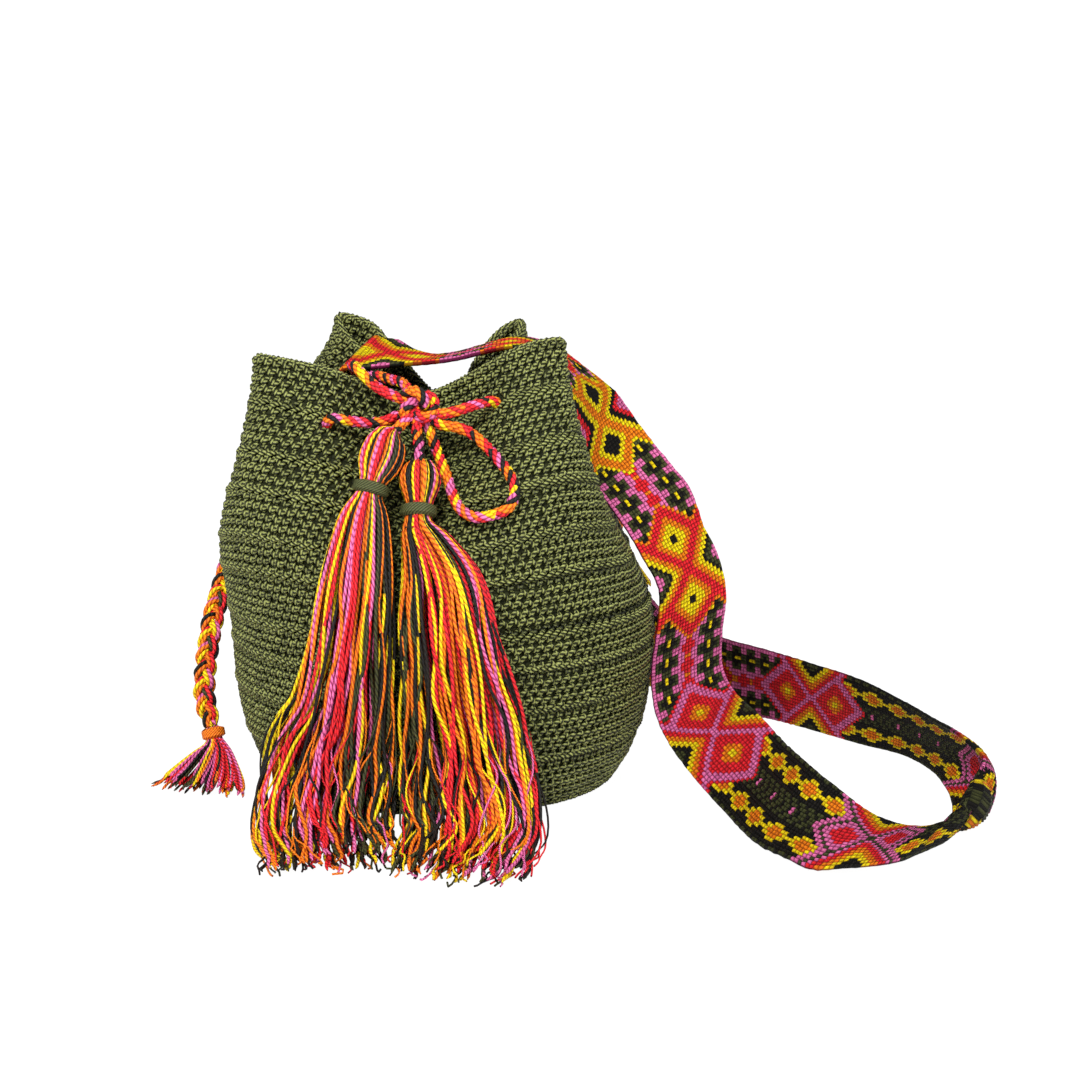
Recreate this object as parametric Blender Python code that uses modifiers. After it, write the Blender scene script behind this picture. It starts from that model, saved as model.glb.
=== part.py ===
"""Crochet crossbody bag: a crocheted bucket with a drawstring mouth, two yarn tassels and a woven strap.

Metres, +Z up. The origin is the middle of the base, on the floor. +X runs along the bag towards the loop
of strap that lies beside it, and -Y is the front, where the drawstring is tied. Routes are in millimetres.
"""

import math

import bmesh
import bpy
from mathutils import Matrix, Vector

MM = 0.001
GAP = 0.4 * MM

# Crocheted body
WALL = 4.0 * MM
MOUTH_HEIGHT = 262.0 * MM
DEPTH_SHARE = 0.93
ROW_RIDGES = 14
RIDGE_HEIGHT = 0.8 * MM
AROUND = 48
BASE_RINGS = (0.35, 0.7)
EYELET_RADIUS = 4.6 * MM

# Half of the wall's width at a height above the floor
WALL_PROFILE = (
    (0, 97), (3, 107), (19, 117), (45, 126), (75, 130), (105, 131), (135, 130), (200, 134), (262, 137),
)

# The upper wall leans to the left of the base
SAG_SHIFT = 3.0 * MM
LEAN = -14.5 * MM
LEAN_START = 90.0 * MM
LEAN_LENGTH = 100.0 * MM

# The gathered rim, as angle round the base in degrees, then x, y and height
RIM_ROUTE = (
    (-19, 60, -29, 265),
    (0, 48, 2, 266),
    (18, 48, 28, 267),
    (40, 53, 60, 281),
    (53, 38, 58, 276),
    (66, 24, 44, 262),
    (90, 5, 18, 236),
    (112, -26, 42, 262),
    (125, -43, 58, 279),
    (138, -66, 64, 285),
    (151, -64, 50, 277),
    (163, -50, 38, 262),
    (180, -46, 2, 256),
    (198, -58, -24, 252),
    (222, -106, -48, 269),
    (246, -62, -60, 262),
    (259, -32, -50, 250),
    (272, -2, -38, 246),
    (296, 38, -57, 268),
    (308, 60, -55, 277),
    (320, 78, -49, 278),
)
FOLD_START = 0.42
FOLD_POWER = 1.25
LOBE_POWER = 3.2

# Drawstring: it enters at two eyelets, given as angle and level, and runs round the inside of the mouth
CORD_DIAMETER = 6.5 * MM
CORD_STEP = 14.0 * MM
LEFT_EYELET = (247.0, 0.885)
RIGHT_EYELET = (295.0, 0.905)
INSIDE_LEVEL = 0.84
INSIDE_ANGLES = (
    236, 225, 213, 198, 180, 163, 150, 138, 126, 112, 90, 67, 53, 40, 28, 15, 0, -18, -31, -43, -54,
)
LEFT_RUN = (
    (-57, -79, 235.5), (-49, -79, 234.3), (-39, -79, 233), (-28, -79, 233.5), (-18, -79, 238),
)
RIGHT_RUN = (
    (0, -80, 239), (8, -81, 238.5), (17, -80, 240.5), (26, -76, 243),
)
KNOT_CENTRE = Vector((-7.5, -79.0, 242.5)) * MM
KNOT_RADII = Vector((13.0, 11.0, 13.0)) * MM
KNOT_LOBES = 0.09
KNOT_ROOM = 0.5 * MM
LOOP_ROUTE = (
    (-2, -82, 235), (5, -82, 229.5), (14, -82, 229), (23, -83, 226.5), (31.5, -88, 221),
    (38.5, -94, 214.3), (46, -101, 205.5), (49, -105, 196.3), (45, -108.5, 187.6), (36, -110.5, 184),
    (26, -109.5, 182.6), (17.3, -103, 186.6), (12.4, -95, 194.6), (9, -88, 203.6), (4, -83, 214),
    (-0.5, -80, 223), (-4, -79, 232),
)
UPPER_TIE_ROUTE = (
    (-40, -25, 254), (-33, -37, 255.5), (-25, -48, 254.5), (-17, -60, 253.5), (-9, -75, 246),
)
LOWER_TIE_ROUTE = (
    (-47, -34, 258), (-48, -46, 262.5), (-45, -57, 263), (-38, -65, 257), (-31, -69, 252),
    (-22, -74, 248), (-12, -78, 245),
)

# Strap: middle of the band, direction across it from its inner to its outer edge, and curl in degrees.
# Its sewn ends are given as angle, level and distance off the wall.
STRAP_WIDTH = 54.0 * MM
STRAP_THICK = 3.0 * MM
STRAP_STEP = 12.0 * MM
STRAP_POINTS = 5
LEFT_END = ((159, 0.66, 5.2), (163, 0.735, 5), (169, 0.81, 5.8), (176, 0.89, 6.8))
MOUTH_TO_FLOOR = (
    (-50, 2.5, 263.5, 0.29, 0.92, 0.28, 0),
    (-42, 2, 265, 0.26, 0.93, 0.25, 0),
    (-30, 1, 265, 0.2, 0.96, 0.2, 0),
    (-18, 0, 263, 0.1, 0.98, 0.06, 0),
    (-4, 0, 262, 0.05, 0.99, -0.02, 0),
    (12, 0, 264, 0, 1, -0.03, 0),
    (28, 1, 268, 0, 1, -0.02, 0),
    (44, 2, 271.5, 0, 1, 0, 0),
    (58, 3, 270.5, 0.03, 1, 0.03, 0),
    (72, 5, 264, 0.12, 0.98, 0.02, 0),
    (86, 8, 250, 0.3, 0.95, 0.02, 0),
    (96, 10, 238, 0.46, 0.89, 0.06, 0),
    (101, 10, 223, 0.53, 0.78, 0.34, 0),
    (110, 10, 203, 0.67, 0.61, 0.43, 0),
    (124, 8, 185, 0.75, 0.55, 0.37, 0),
    (137, 5, 168, 0.76, 0.51, 0.39, 0),
    (147, 1, 147, 0.72, 0.62, 0.28, 0),
    (156, -3, 129, 0.72, 0.63, 0.28, 0),
    (158, -8, 107, 0.82, 0.50, 0.28, 0),
    (155, -14, 83, 0.84, 0.47, 0.28, 0),
    (155, -24, 63, 0.83, 0.48, 0.27, 0),
    (161, -41, 49, 0.84, 0.37, 0.38, 0),
    (173, -71, 39, 0.80, 0.10, 0.60, 0),
    (188, -98, 27, 0.71, 0.11, 0.69, 0),
    (202, -142, 22, 0.65, 0.17, 0.74, 0),
    (215, -163, 18.5, 0.63, 0.53, 0.56, 0),
    (228, -177, 14, 0.60, 0.68, 0.43, 20),
    (243, -178, 11, 0.55, 0.80, 0.24, 30),
    (259, -173, 8, 0.53, 0.84, 0.14, 45),
    (275, -165, 6.5, 0.53, 0.84, 0.10, 70),
    (286, -153, 7, 0.52, 0.84, 0.14, 85),
    (296, -139, 9, 0.43, 0.87, 0.23, 85),
    (304, -125, 11, 0.38, 0.86, 0.33, 90),
    (311, -115, 15, 0.40, 0.75, 0.53, 120),
    (314, -105, 17.5, 0.47, 0.47, 0.75, 145),
    (316, -92, 19, 0.44, 0.18, 0.88, 155),
    (315.5, -77, 21, 0.24, -0.08, 0.97, 160),
    (314, -57, 22, 0.04, -0.38, 0.92, 125),
    (310, -27, 22.5, -0.09, -0.6, 0.79, 45),
    (297, 14, 23, -0.11, -0.58, 0.80, 10),
    (273, 45, 26, -0.06, -0.42, 0.90, 0),
    (245, 81, 27, -0.04, -0.36, 0.93, 0),
    (220, 111, 27.5, -0.06, -0.28, 0.96, 0),
    (193, 134, 28, 0.0, -0.1, 0.99, 0),
    (166, 145, 34, 0.15, -0.1, 0.98, 0),
    (140, 138, 49, 0.4, -0.2, 0.88, 0),
    (119, 120, 73, 0.6, -0.4, 0.68, 0),
)
RIGHT_END = (
    (44, 0.37, 8), (42, 0.45, 4), (40.5, 0.53, 3.5), (38, 0.6, 3.5), (34, 0.69, 3.5), (30, 0.77, 4),
    (27, 0.85, 4),
)
WALL_SPAN = 12.0

# Braided tails below the strap's ends: middle of the braid, down to its tie, then its fringe
TAIL_RADIUS = 6.5 * MM
TAIL_PITCH = 14.0 * MM
TAIL_BULGE = 0.12
TIE_HEIGHT = 8.0 * MM
TIE_WALL = 2.6 * MM
LEFT_TAIL = (
    (-129.2, 63.5, 177), (-130.6, 63, 168), (-132.5, 58, 149), (-135, 46, 134), (-138.5, 29, 119),
    (-142.5, 8, 101), (-145, -8, 80), (-146.5, -16, 57), (-143.8, -20.5, 44), (-141, -23.5, 35),
)
LEFT_FRINGE = (
    (-141, -23.5, 35, 5.5, 5.5), (-139.3, -25.8, 28, 5.8, 5.5), (-139, -30, 20, 11, 6.5),
    (-141, -40, 11, 19, 6), (-143, -54, 5, 26, 4.2),
)
RIGHT_TAIL = (
    (82.3, 53.5, 236.3), (95, 62.5, 225), (105, 76, 200), (108.5, 85, 175), (110.5, 91, 150),
    (113.5, 96, 130),
)
RIGHT_FRINGE = (
    (113.5, 96, 130, 5.5, 5.5), (115, 98, 123, 5.8, 5.5), (118, 102, 113, 9.5, 6.5),
    (122, 109, 102, 11.5, 6), (126, 117.5, 92, 12.5, 5),
)

# Tassels: middle of the yarns, then half of their width and depth
TASSEL_AROUND = 16
STRAND_FLUTES = 4
FLUTE_DEPTH = 0.07
WRAP_HEIGHT = 8.5 * MM
WRAP_WALL = 2.6 * MM
LEFT_HEAD = (
    (-17.5, -88, 232, 2.8, 2.8), (-20.5, -90, 229.5, 4.2, 4.2), (-24.5, -93.5, 225, 10.5, 8.5),
    (-27, -99.5, 216, 13, 10), (-29.7, -104, 208.5, 11.3, 10), (-31.7, -106.5, 203.8, 8.6, 8.6),
    (-33, -108, 199.2, 8.4, 8.4), (-34.3, -109.7, 194.6, 8.6, 8.6),
)
LEFT_SKIRT = (
    (-35.8, -112.5, 187, 12.5, 9.5), (-37.5, -117, 176, 16, 10.5), (-40, -127, 152, 20, 11.5),
    (-43, -134, 118, 23, 12), (-45.5, -134.5, 96, 25.5, 12.5), (-49.5, -133.5, 73, 29.5, 13),
    (-56, -134, 50, 35, 13.5), (-58.5, -141, 28, 37, 13.5), (-59, -161, 13, 37, 9.5),
    (-53, -184, 8, 33, 6), (-46, -203, 6, 25, 4.5),
)
RIGHT_HEAD = (
    (-8, -85, 228.8, 3.2, 3.2), (-6.8, -89.5, 222.5, 3.4, 3.4), (-6, -94, 216.5, 4.2, 4.2),
    (-5.6, -97.5, 211.5, 7, 7), (-5.4, -101.5, 205.5, 9.5, 9.5), (-5.4, -104.5, 200, 9.5, 9.5),
    (-5.7, -108, 191.2, 8.6, 8.6), (-6, -110.3, 186.4, 8.3, 8.3), (-6.2, -112.8, 181, 8.6, 8.6),
)
RIGHT_SKIRT = (
    (-4.8, -116, 174, 11.5, 9.5), (1, -121.5, 163, 17, 10.5), (8, -129.5, 145, 23.5, 11.5),
    (11.5, -136, 118, 27, 12), (15, -136, 92, 30.5, 12.5), (19.5, -135, 62, 34, 13),
    (22.5, -140, 33, 37, 13.5), (25.5, -160, 13.5, 37.5, 9.5), (20, -189, 8, 34, 6),
    (13, -214, 6, 25, 4.5),
)

OLIVE = (0.105, 0.125, 0.050)
WARM = (0.75, 0.16, 0.06)
PINK = (0.62, 0.08, 0.20)
YELLOW = (0.85, 0.55, 0.03)
ORANGE = (0.85, 0.26, 0.03)


def clear_scene():
    for obj in list(bpy.data.objects):
        bpy.data.objects.remove(obj, do_unlink=True)


def make_material(name, colour, roughness=0.8):
    material = bpy.data.materials.new(name)
    material.use_nodes = True
    shader = material.node_tree.nodes["Principled BSDF"]
    shader.inputs["Base Color"].default_value = (*colour, 1.0)
    shader.inputs["Roughness"].default_value = roughness
    return material


def make_object(name, mesh, material, collection):
    obj = bpy.data.objects.new(name, mesh)
    collection.objects.link(obj)
    mesh.materials.append(material)
    return obj


def smooth(t):
    """0 to 1 with flat ends."""
    t = min(max(t, 0.0), 1.0)
    return t * t * (3.0 - 2.0 * t)


def cubic(p0, p1, p2, p3, t):
    """A value on the Catmull-Rom curve from p1 to p2."""
    rise = p2 - p0
    bend = 2 * p0 - 5 * p1 + 4 * p2 - p3
    twist = 3 * p1 - p0 - 3 * p2 + p3
    return p1 + 0.5 * (rise * t + bend * t * t + twist * t**3)


def smooth_route(rows, step):
    """Rows read along a smooth curve through the given rows, whose first three values are a place."""
    rows = [[float(value) for value in row] for row in rows]
    found = []
    for i in range(len(rows) - 1):
        around = [rows[min(max(k, 0), len(rows) - 1)] for k in (i - 1, i, i + 1, i + 2)]
        length = math.dist(rows[i][:3], rows[i + 1][:3])
        pieces = max(1, round(length / step))
        for k in range(pieces):
            found.append([cubic(*values, k / pieces) for values in zip(*around)])
    found.append(rows[-1])
    return found


def smooth_path(points, step):
    return [Vector(row) for row in smooth_route([tuple(point) for point in points], step)]


def in_metres(points):
    return [Vector(point) * MM for point in points]


def profile_radius(height):
    """Half of the wall's width at a height."""
    points = [(z * MM, r * MM) for z, r in WALL_PROFILE]
    height = min(max(height, 0.0), points[-1][0])
    i = max(k for k in range(len(points) - 1) if points[k][0] <= height)
    around = [points[min(max(k, 0), len(points) - 1)][1] for k in (i - 1, i, i + 1, i + 2)]
    t = (height - points[i][0]) / (points[i + 1][0] - points[i][0])
    return cubic(*around, t) if i > 1 else around[1] + (around[2] - around[1]) * t


def rim_point(angle):
    """The gathered rim at an angle round the base, in degrees."""
    count = len(RIM_ROUTE)
    first = RIM_ROUTE[0][0]
    angle = (angle - first) % 360.0 + first
    i = max(k for k in range(count) if RIM_ROUTE[k][0] <= angle)
    rows = [Vector(RIM_ROUTE[(i + k) % count][1:]) * MM for k in (-1, 0, 1, 2)]
    end = RIM_ROUTE[i + 1][0] if i + 1 < count else first + 360.0
    return cubic(*rows, (angle - RIM_ROUTE[i][0]) / (end - RIM_ROUTE[i][0]))


def wall_point(angle, level):
    """A point on the outside of the wall: level 0 is the floor and 1 the rim."""
    rim = rim_point(angle)
    height = level * MOUTH_HEIGHT
    lift = (rim.z - MOUTH_HEIGHT) * smooth((level - 0.35) / 0.65)
    radius = profile_radius(height)
    lean = SAG_SHIFT + (LEAN - SAG_SHIFT) * smooth((height - LEAN_START) / LEAN_LENGTH)
    turn = math.radians(angle)
    plain = Vector((lean + radius * math.cos(turn), DEPTH_SHARE * radius * math.sin(turn), 0.0))
    power = FOLD_POWER + (LOBE_POWER - FOLD_POWER) * 0.5 * (1.0 - math.cos(4.0 * turn))
    gather = smooth((level - FOLD_START) / (1.0 - FOLD_START)) ** power
    point = plain.lerp(Vector((rim.x, rim.y, 0.0)), gather)
    return Vector((point.x, point.y, height + lift))


def wall_normal(angle, level):
    """The wall's outward normal."""
    along = wall_point(angle + 1.0, level) - wall_point(angle - 1.0, level)
    up = wall_point(angle, min(level + 0.01, 1.0)) - wall_point(angle, max(level - 0.01, 0.0))
    return along.cross(up).normalized()


def wall_offset(angle, level, out):
    return wall_point(angle, level) + wall_normal(angle, level) * out


def loft(name, rings, material, collection):
    """A closed solid through rings of points, each end capped with a fan."""
    bm = bmesh.new()
    rows = [[bm.verts.new(point) for point in ring] for ring in rings]
    count = len(rows[0])
    for low, high in zip(rows, rows[1:]):
        for k in range(count):
            bm.faces.new((low[k], low[(k + 1) % count], high[(k + 1) % count], high[k]))
    for row in (rows[0], rows[-1]):
        middle = bm.verts.new(sum((vert.co for vert in row), Vector()) / count)
        for k in range(count):
            bm.faces.new((row[k], row[(k + 1) % count], middle))
    bmesh.ops.recalc_face_normals(bm, faces=bm.faces)
    mesh = bpy.data.meshes.new(name)
    bm.to_mesh(mesh)
    bm.free()
    mesh.shade_smooth()
    return make_object(name, mesh, material, collection)


def make_cord(name, points, diameter, material, collection):
    """A round cord with filled ends along the points."""
    curve = bpy.data.curves.new(name, "CURVE")
    curve.dimensions = "3D"
    curve.bevel_depth = diameter / 2
    curve.bevel_resolution = 2
    curve.use_fill_caps = True
    spline = curve.splines.new("POLY")
    spline.points.add(len(points) - 1)
    for place, point in zip(spline.points, points):
        place.co = (*point, 1.0)
    obj = bpy.data.objects.new(name, curve)
    collection.objects.link(obj)
    curve.materials.append(material)
    return obj


def make_body(material, collection, cutters):
    """The crocheted base and wall, worked in one piece, with a ridge for every few rows."""
    bm = bmesh.new()
    middle = bm.verts.new((0.0, 0.0, 0.0))
    angles = [360.0 * k / AROUND for k in range(AROUND)]
    rings = [[bm.verts.new(wall_point(angle, 0.0) * share) for angle in angles] for share in BASE_RINGS]
    rows = 2 * ROW_RIDGES
    for i in range(rows + 1):
        level = i / rows
        out = RIDGE_HEIGHT if i % 2 else 0.0
        points = [wall_offset(angle, level, out) if i else wall_point(angle, 0.0) for angle in angles]
        rings.append([bm.verts.new(point) for point in points])
    for k in range(AROUND):
        bm.faces.new((middle, rings[0][(k + 1) % AROUND], rings[0][k]))
        for low, high in zip(rings, rings[1:]):
            bm.faces.new((low[k], low[(k + 1) % AROUND], high[(k + 1) % AROUND], high[k]))
    mesh = bpy.data.meshes.new("crochet_body")
    bm.to_mesh(mesh)
    bm.free()
    mesh.shade_smooth()
    body = make_object("crochet_body", mesh, material, collection)
    shell = body.modifiers.new("wall", "SOLIDIFY")
    shell.thickness = WALL
    shell.offset = -1.0
    for place in (LEFT_EYELET, RIGHT_EYELET):
        bore = body.modifiers.new("eyelet", "BOOLEAN")
        bore.operation = "DIFFERENCE"
        bore.solver = "EXACT"
        bore.object = make_eyelet_cutter(place, cutters)
    return body


def make_eyelet_cutter(place, cutters):
    """A round bar through the wall at an angle and level."""
    bm = bmesh.new()
    radii = {"radius1": EYELET_RADIUS, "radius2": EYELET_RADIUS}
    bmesh.ops.create_cone(bm, cap_ends=True, segments=12, depth=4 * WALL, **radii)
    mesh = bpy.data.meshes.new("eyelet_cutter")
    bm.to_mesh(mesh)
    bm.free()
    cutter = bpy.data.objects.new("eyelet_cutter", mesh)
    cutters.objects.link(cutter)
    turn = wall_normal(*place).to_track_quat("Z", "Y").to_matrix().to_4x4()
    cutter.matrix_world = Matrix.Translation(wall_offset(*place, -WALL / 2)) @ turn
    cutter.hide_render = True
    cutter.display_type = "WIRE"
    return cutter


def wall_stations(places):
    """Strap stations that follow the wall, with the band's outer edge towards the smaller angle."""
    found = []
    for angle, level, off in places:
        turns = (WALL_SPAN, 0.0, -WALL_SPAN)
        near, middle, far = [wall_offset(angle + turn, level, off * MM) for turn in turns]
        face = wall_normal(angle, level)
        rise = (middle - (near + far) / 2).dot(face)
        curl = 4.0 * math.atan(2.0 * rise / (far - near).length)
        curl = math.copysign(max(abs(curl), 0.001), curl)
        sink = STRAP_WIDTH / curl * (1.0 - math.cos(curl / 2))
        found.append((*(middle - face * sink), *(far - near).normalized(), math.degrees(curl)))
    return found


def strap_stations():
    """The whole route of the strap: its left end, over the mouth, down to the floor and back up behind."""
    free = [(x * MM, y * MM, z * MM, a, b, c, curl) for x, y, z, a, b, c, curl in MOUTH_TO_FLOOR]
    rows = wall_stations(LEFT_END) + free + wall_stations(RIGHT_END)
    return smooth_route(rows, STRAP_STEP)


def strap_section(place, across, along, curl):
    """The band's section at a station: a thin slab, curled across its width where the band buckles."""
    face = along.cross(across).normalized()
    curl = math.radians(math.copysign(max(abs(curl), 0.1), curl))
    radius = STRAP_WIDTH / curl
    outer = []
    inner = []
    for k in range(STRAP_POINTS):
        turn = curl * (k / (STRAP_POINTS - 1) - 0.5)
        normal = face * math.cos(turn) + across * math.sin(turn)
        sink = radius * (math.cos(turn) - math.cos(curl / 2))
        middle = place + across * radius * math.sin(turn) + face * sink
        outer.append(middle + normal * STRAP_THICK / 2)
        inner.append(middle - normal * STRAP_THICK / 2)
    return outer + inner[::-1]


def make_strap(material, collection):
    """The woven strap, one band from end to end."""
    rows = strap_stations()
    places = [Vector(row[:3]) for row in rows]
    rings = []
    for i, row in enumerate(rows):
        along = places[min(i + 1, len(rows) - 1)] - places[max(i - 1, 0)]
        rings.append(strap_section(places[i], Vector(row[3:6]), along.normalized(), row[6]))
    return loft("strap", rings, material, collection)


def bundle_ring(place, along, half_width, half_depth, count, flutes, depth):
    """An oval section of a yarn bundle, with its width along X and grooves between its strands."""
    side = (Vector((1.0, 0.0, 0.0)) - along * along.x).normalized()
    front = along.cross(side).normalized()
    ring = []
    for k in range(count):
        turn = 2 * math.pi * k / count
        swell = 1.0 + depth * math.cos(flutes * turn)
        out = side * half_width * math.cos(turn) + front * half_depth * math.sin(turn)
        ring.append(place + out * swell)
    return ring


def make_bundle(name, rows, step, count, flutes, depth, material, collection):
    """A bundle of yarns along rows of place, half-width and half-depth."""
    rows = smooth_route(rows, step)
    places = [Vector(row[:3]) for row in rows]
    rings = []
    for i, row in enumerate(rows):
        along = (places[min(i + 1, len(rows) - 1)] - places[max(i - 1, 0)]).normalized()
        rings.append(bundle_ring(places[i], along, row[3], row[4], count, flutes, depth))
    return loft(name, rings, material, collection)


def make_wrap(name, place, along, radius, wall, height, material, collection):
    """A band of thread wound round a bundle's neck: a turned section with rounded edges."""
    mesh = bpy.data.meshes.new(name)
    bm = bmesh.new()
    edge = wall / 3
    outer = radius + wall
    half = height / 2
    profile = (
        (radius, half), (radius, -half), (outer - edge, -half),
        (outer, edge - half), (outer, half - edge), (outer - edge, half),
    )
    verts = [bm.verts.new((x, 0.0, z)) for x, z in profile]
    for k in range(len(verts)):
        bm.edges.new((verts[k - 1], verts[k]))
    bm.to_mesh(mesh)
    bm.free()
    obj = make_object(name, mesh, material, collection)
    obj.matrix_world = Matrix.Translation(place) @ along.to_track_quat("Z", "Y").to_matrix().to_4x4()
    turned = obj.modifiers.new("turned", "SCREW")
    turned.steps = 14
    turned.render_steps = 14
    turned.use_merge_vertices = True
    turned.merge_threshold = 0.0001
    turned.use_normal_calculate = True
    return obj


def knot_lobes(way):
    """How far the knot's surface lies out in a direction, given as a unit vector."""
    return 1.0 - KNOT_LOBES * (1.0 + math.cos(3.0 * math.atan2(way.z, way.x) + 4.0 * way.y)) / 2


def knot_depth(point):
    """Below 1 inside the knot, with room to spare round it."""
    way = Vector([(point[k] - KNOT_CENTRE[k]) / (KNOT_RADII[k] + KNOT_ROOM) for k in range(3)])
    return way.length / knot_lobes(way.normalized())


def outside_knot(points):
    """The part of a route that lies clear of the knot, led up to its surface."""
    kept = []
    for near, far in zip(points, points[1:]):
        inside = (knot_depth(near) < 1.0, knot_depth(far) < 1.0)
        if not inside[0]:
            kept.append(near)
        if inside[0] != inside[1]:
            low, high = 0.0, 1.0
            for step in range(20):
                middle = (low + high) / 2
                crossed = (knot_depth(near.lerp(far, middle)) < 1.0) != inside[0]
                low, high = (low, middle) if crossed else (middle, high)
            kept.append(near.lerp(far, high if inside[0] else low))
    if knot_depth(points[-1]) >= 1.0:
        kept.append(points[-1])
    return kept


def make_knot(material, collection):
    """The drawstring's knot: a rounded lump with the lobes of its turns."""
    bm = bmesh.new()
    bmesh.ops.create_uvsphere(bm, u_segments=16, v_segments=10, radius=1.0)
    for vert in bm.verts:
        vert.co = Vector([vert.co[k] * KNOT_RADII[k] for k in range(3)]) * knot_lobes(vert.co.normalized())
    mesh = bpy.data.meshes.new("drawstring_knot")
    bm.to_mesh(mesh)
    bm.free()
    mesh.shade_smooth()
    knot = make_object("drawstring_knot", mesh, material, collection)
    knot.location = KNOT_CENTRE
    return knot


def drawstring_points():
    """From the knot through the left eyelet, round the inside of the mouth and out at the right eyelet."""
    inset = -(WALL + CORD_DIAMETER / 2 + 1.5 * MM)
    out = CORD_DIAMETER / 2 + 1.5 * MM
    points = in_metres(LEFT_RUN[::-1])
    points += [wall_offset(*LEFT_EYELET, depth) for depth in (out, -WALL / 2, inset)]
    points += [wall_offset(angle, INSIDE_LEVEL, inset) for angle in INSIDE_ANGLES]
    points += [wall_offset(*RIGHT_EYELET, depth) for depth in (inset, -WALL / 2, out)]
    points += in_metres(RIGHT_RUN[::-1])
    return smooth_path(points, CORD_STEP)


def make_drawstring(material, collection):
    """The cord's runs, its free loop and the doubled ends that tie it to the strap."""
    make_cord("drawstring", outside_knot(drawstring_points()), CORD_DIAMETER, material, collection)
    make_knot(material, collection)
    routes = {
        "drawstring_loop": LOOP_ROUTE,
        "strap_tie_upper": UPPER_TIE_ROUTE,
        "strap_tie_lower": LOWER_TIE_ROUTE,
    }
    for name, route in routes.items():
        points = outside_knot(smooth_path(in_metres(route), CORD_STEP))
        make_cord(name, points, CORD_DIAMETER, material, collection)


def braid_rows(points):
    """A plait's places and radii: it swells once for each crossing of its strands."""
    rows = []
    length = 0.0
    path = smooth_path(in_metres(points), TAIL_PITCH / 4)
    for i, place in enumerate(path):
        length += (place - path[i - 1]).length if i else 0.0
        radius = TAIL_RADIUS * (1.0 - TAIL_BULGE * (1.0 + math.cos(2 * math.pi * length / TAIL_PITCH)) / 2)
        rows.append((*place, radius, radius))
    return rows


def make_tail(side, braid, fringe, materials, collection):
    """A plaited tail of the strap's yarns with its fringe, and the thread tied round its end."""
    rows = braid_rows(braid)[:-1] + [tuple(value * MM for value in row) for row in fringe]
    make_bundle(side + "_tail", rows, 8.0 * MM, 8, 0, 0.0, materials["warm"], collection)
    along = Vector(fringe[0][:3]) - Vector(fringe[1][:3])
    place = (Vector(fringe[0][:3]) + Vector(fringe[1][:3])) * MM / 2
    size = (TAIL_RADIUS + GAP, TIE_WALL, TIE_HEIGHT)
    make_wrap(side + "_tail_tie", place, along.normalized(), *size, materials["orange"], collection)


def make_tassel(side, head, skirt, materials, collection):
    """A tassel of yarns folded over the drawstring's end, and the thread wound round its neck."""
    rows = [tuple(value * MM for value in row) for row in head + skirt]
    name = "tassel_" + side
    form = (12.0 * MM, TASSEL_AROUND, STRAND_FLUTES, FLUTE_DEPTH)
    make_bundle(name, rows, *form, materials["pink"], collection)
    neck = Vector(head[-2][:3]) * MM
    along = (Vector(head[-3][:3]) - Vector(head[-1][:3])).normalized()
    radius = head[-1][3] * MM * (1.0 + FLUTE_DEPTH) + 2 * GAP
    make_wrap(name + "_wrap", neck, along, radius, WRAP_WALL, WRAP_HEIGHT, materials["olive"], collection)


def main():
    clear_scene()
    bag = bpy.data.collections.new("crochet_crossbody_bag")
    cutters = bpy.data.collections.new("cutters")
    bpy.context.scene.collection.children.link(bag)
    bpy.context.scene.collection.children.link(cutters)
    materials = {
        "olive": make_material("olive_crochet", OLIVE),
        "warm": make_material("strap_weave", WARM),
        "pink": make_material("tassel_yarn", PINK),
        "yellow": make_material("drawstring_yarn", YELLOW),
        "orange": make_material("orange_thread", ORANGE),
    }
    make_body(materials["olive"], bag, cutters)
    make_strap(materials["warm"], bag)
    make_drawstring(materials["yellow"], bag)
    make_tail("left", LEFT_TAIL, LEFT_FRINGE, materials, bag)
    make_tail("right", RIGHT_TAIL, RIGHT_FRINGE, materials, bag)
    make_tassel("left", LEFT_HEAD, LEFT_SKIRT, materials, bag)
    make_tassel("right", RIGHT_HEAD, RIGHT_SKIRT, materials, bag)


main()
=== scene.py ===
"""Crochet crossbody bag in colour: stitches, knotted strap, twisted cords, plaits and yarn tassels."""
import math

import bpy
import numpy as np
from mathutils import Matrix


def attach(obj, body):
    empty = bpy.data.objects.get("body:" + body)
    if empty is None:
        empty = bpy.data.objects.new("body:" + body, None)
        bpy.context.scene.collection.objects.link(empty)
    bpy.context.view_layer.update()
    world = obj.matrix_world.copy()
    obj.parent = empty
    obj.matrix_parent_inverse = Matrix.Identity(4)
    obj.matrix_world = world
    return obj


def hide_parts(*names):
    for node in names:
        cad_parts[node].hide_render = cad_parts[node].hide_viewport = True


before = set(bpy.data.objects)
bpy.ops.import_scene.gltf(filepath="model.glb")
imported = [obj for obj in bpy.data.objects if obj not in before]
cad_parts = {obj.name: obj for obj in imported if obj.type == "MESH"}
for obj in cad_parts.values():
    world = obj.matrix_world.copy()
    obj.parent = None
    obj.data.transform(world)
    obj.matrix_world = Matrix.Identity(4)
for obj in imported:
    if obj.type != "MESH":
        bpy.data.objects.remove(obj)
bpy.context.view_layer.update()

MM = 0.001
RNG = np.random.default_rng(7)


def new_object(name, data):
    """An object with the given data, linked to the scene."""
    obj = bpy.data.objects.new(name, data)
    bpy.context.scene.collection.objects.link(obj)
    return obj


# Camera

eye = bpy.data.cameras.new("camera")
camera = new_object("camera", eye)
camera.location = (0.0632, -1.30, 0.39)
camera.rotation_euler = (math.radians(79.5), 0.0, 0.0)
eye.sensor_width = 36.0
eye.lens = 70.63
eye.clip_start = 0.05
eye.clip_end = 60.0
bpy.context.scene.camera = camera


# Curves and frames

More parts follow.
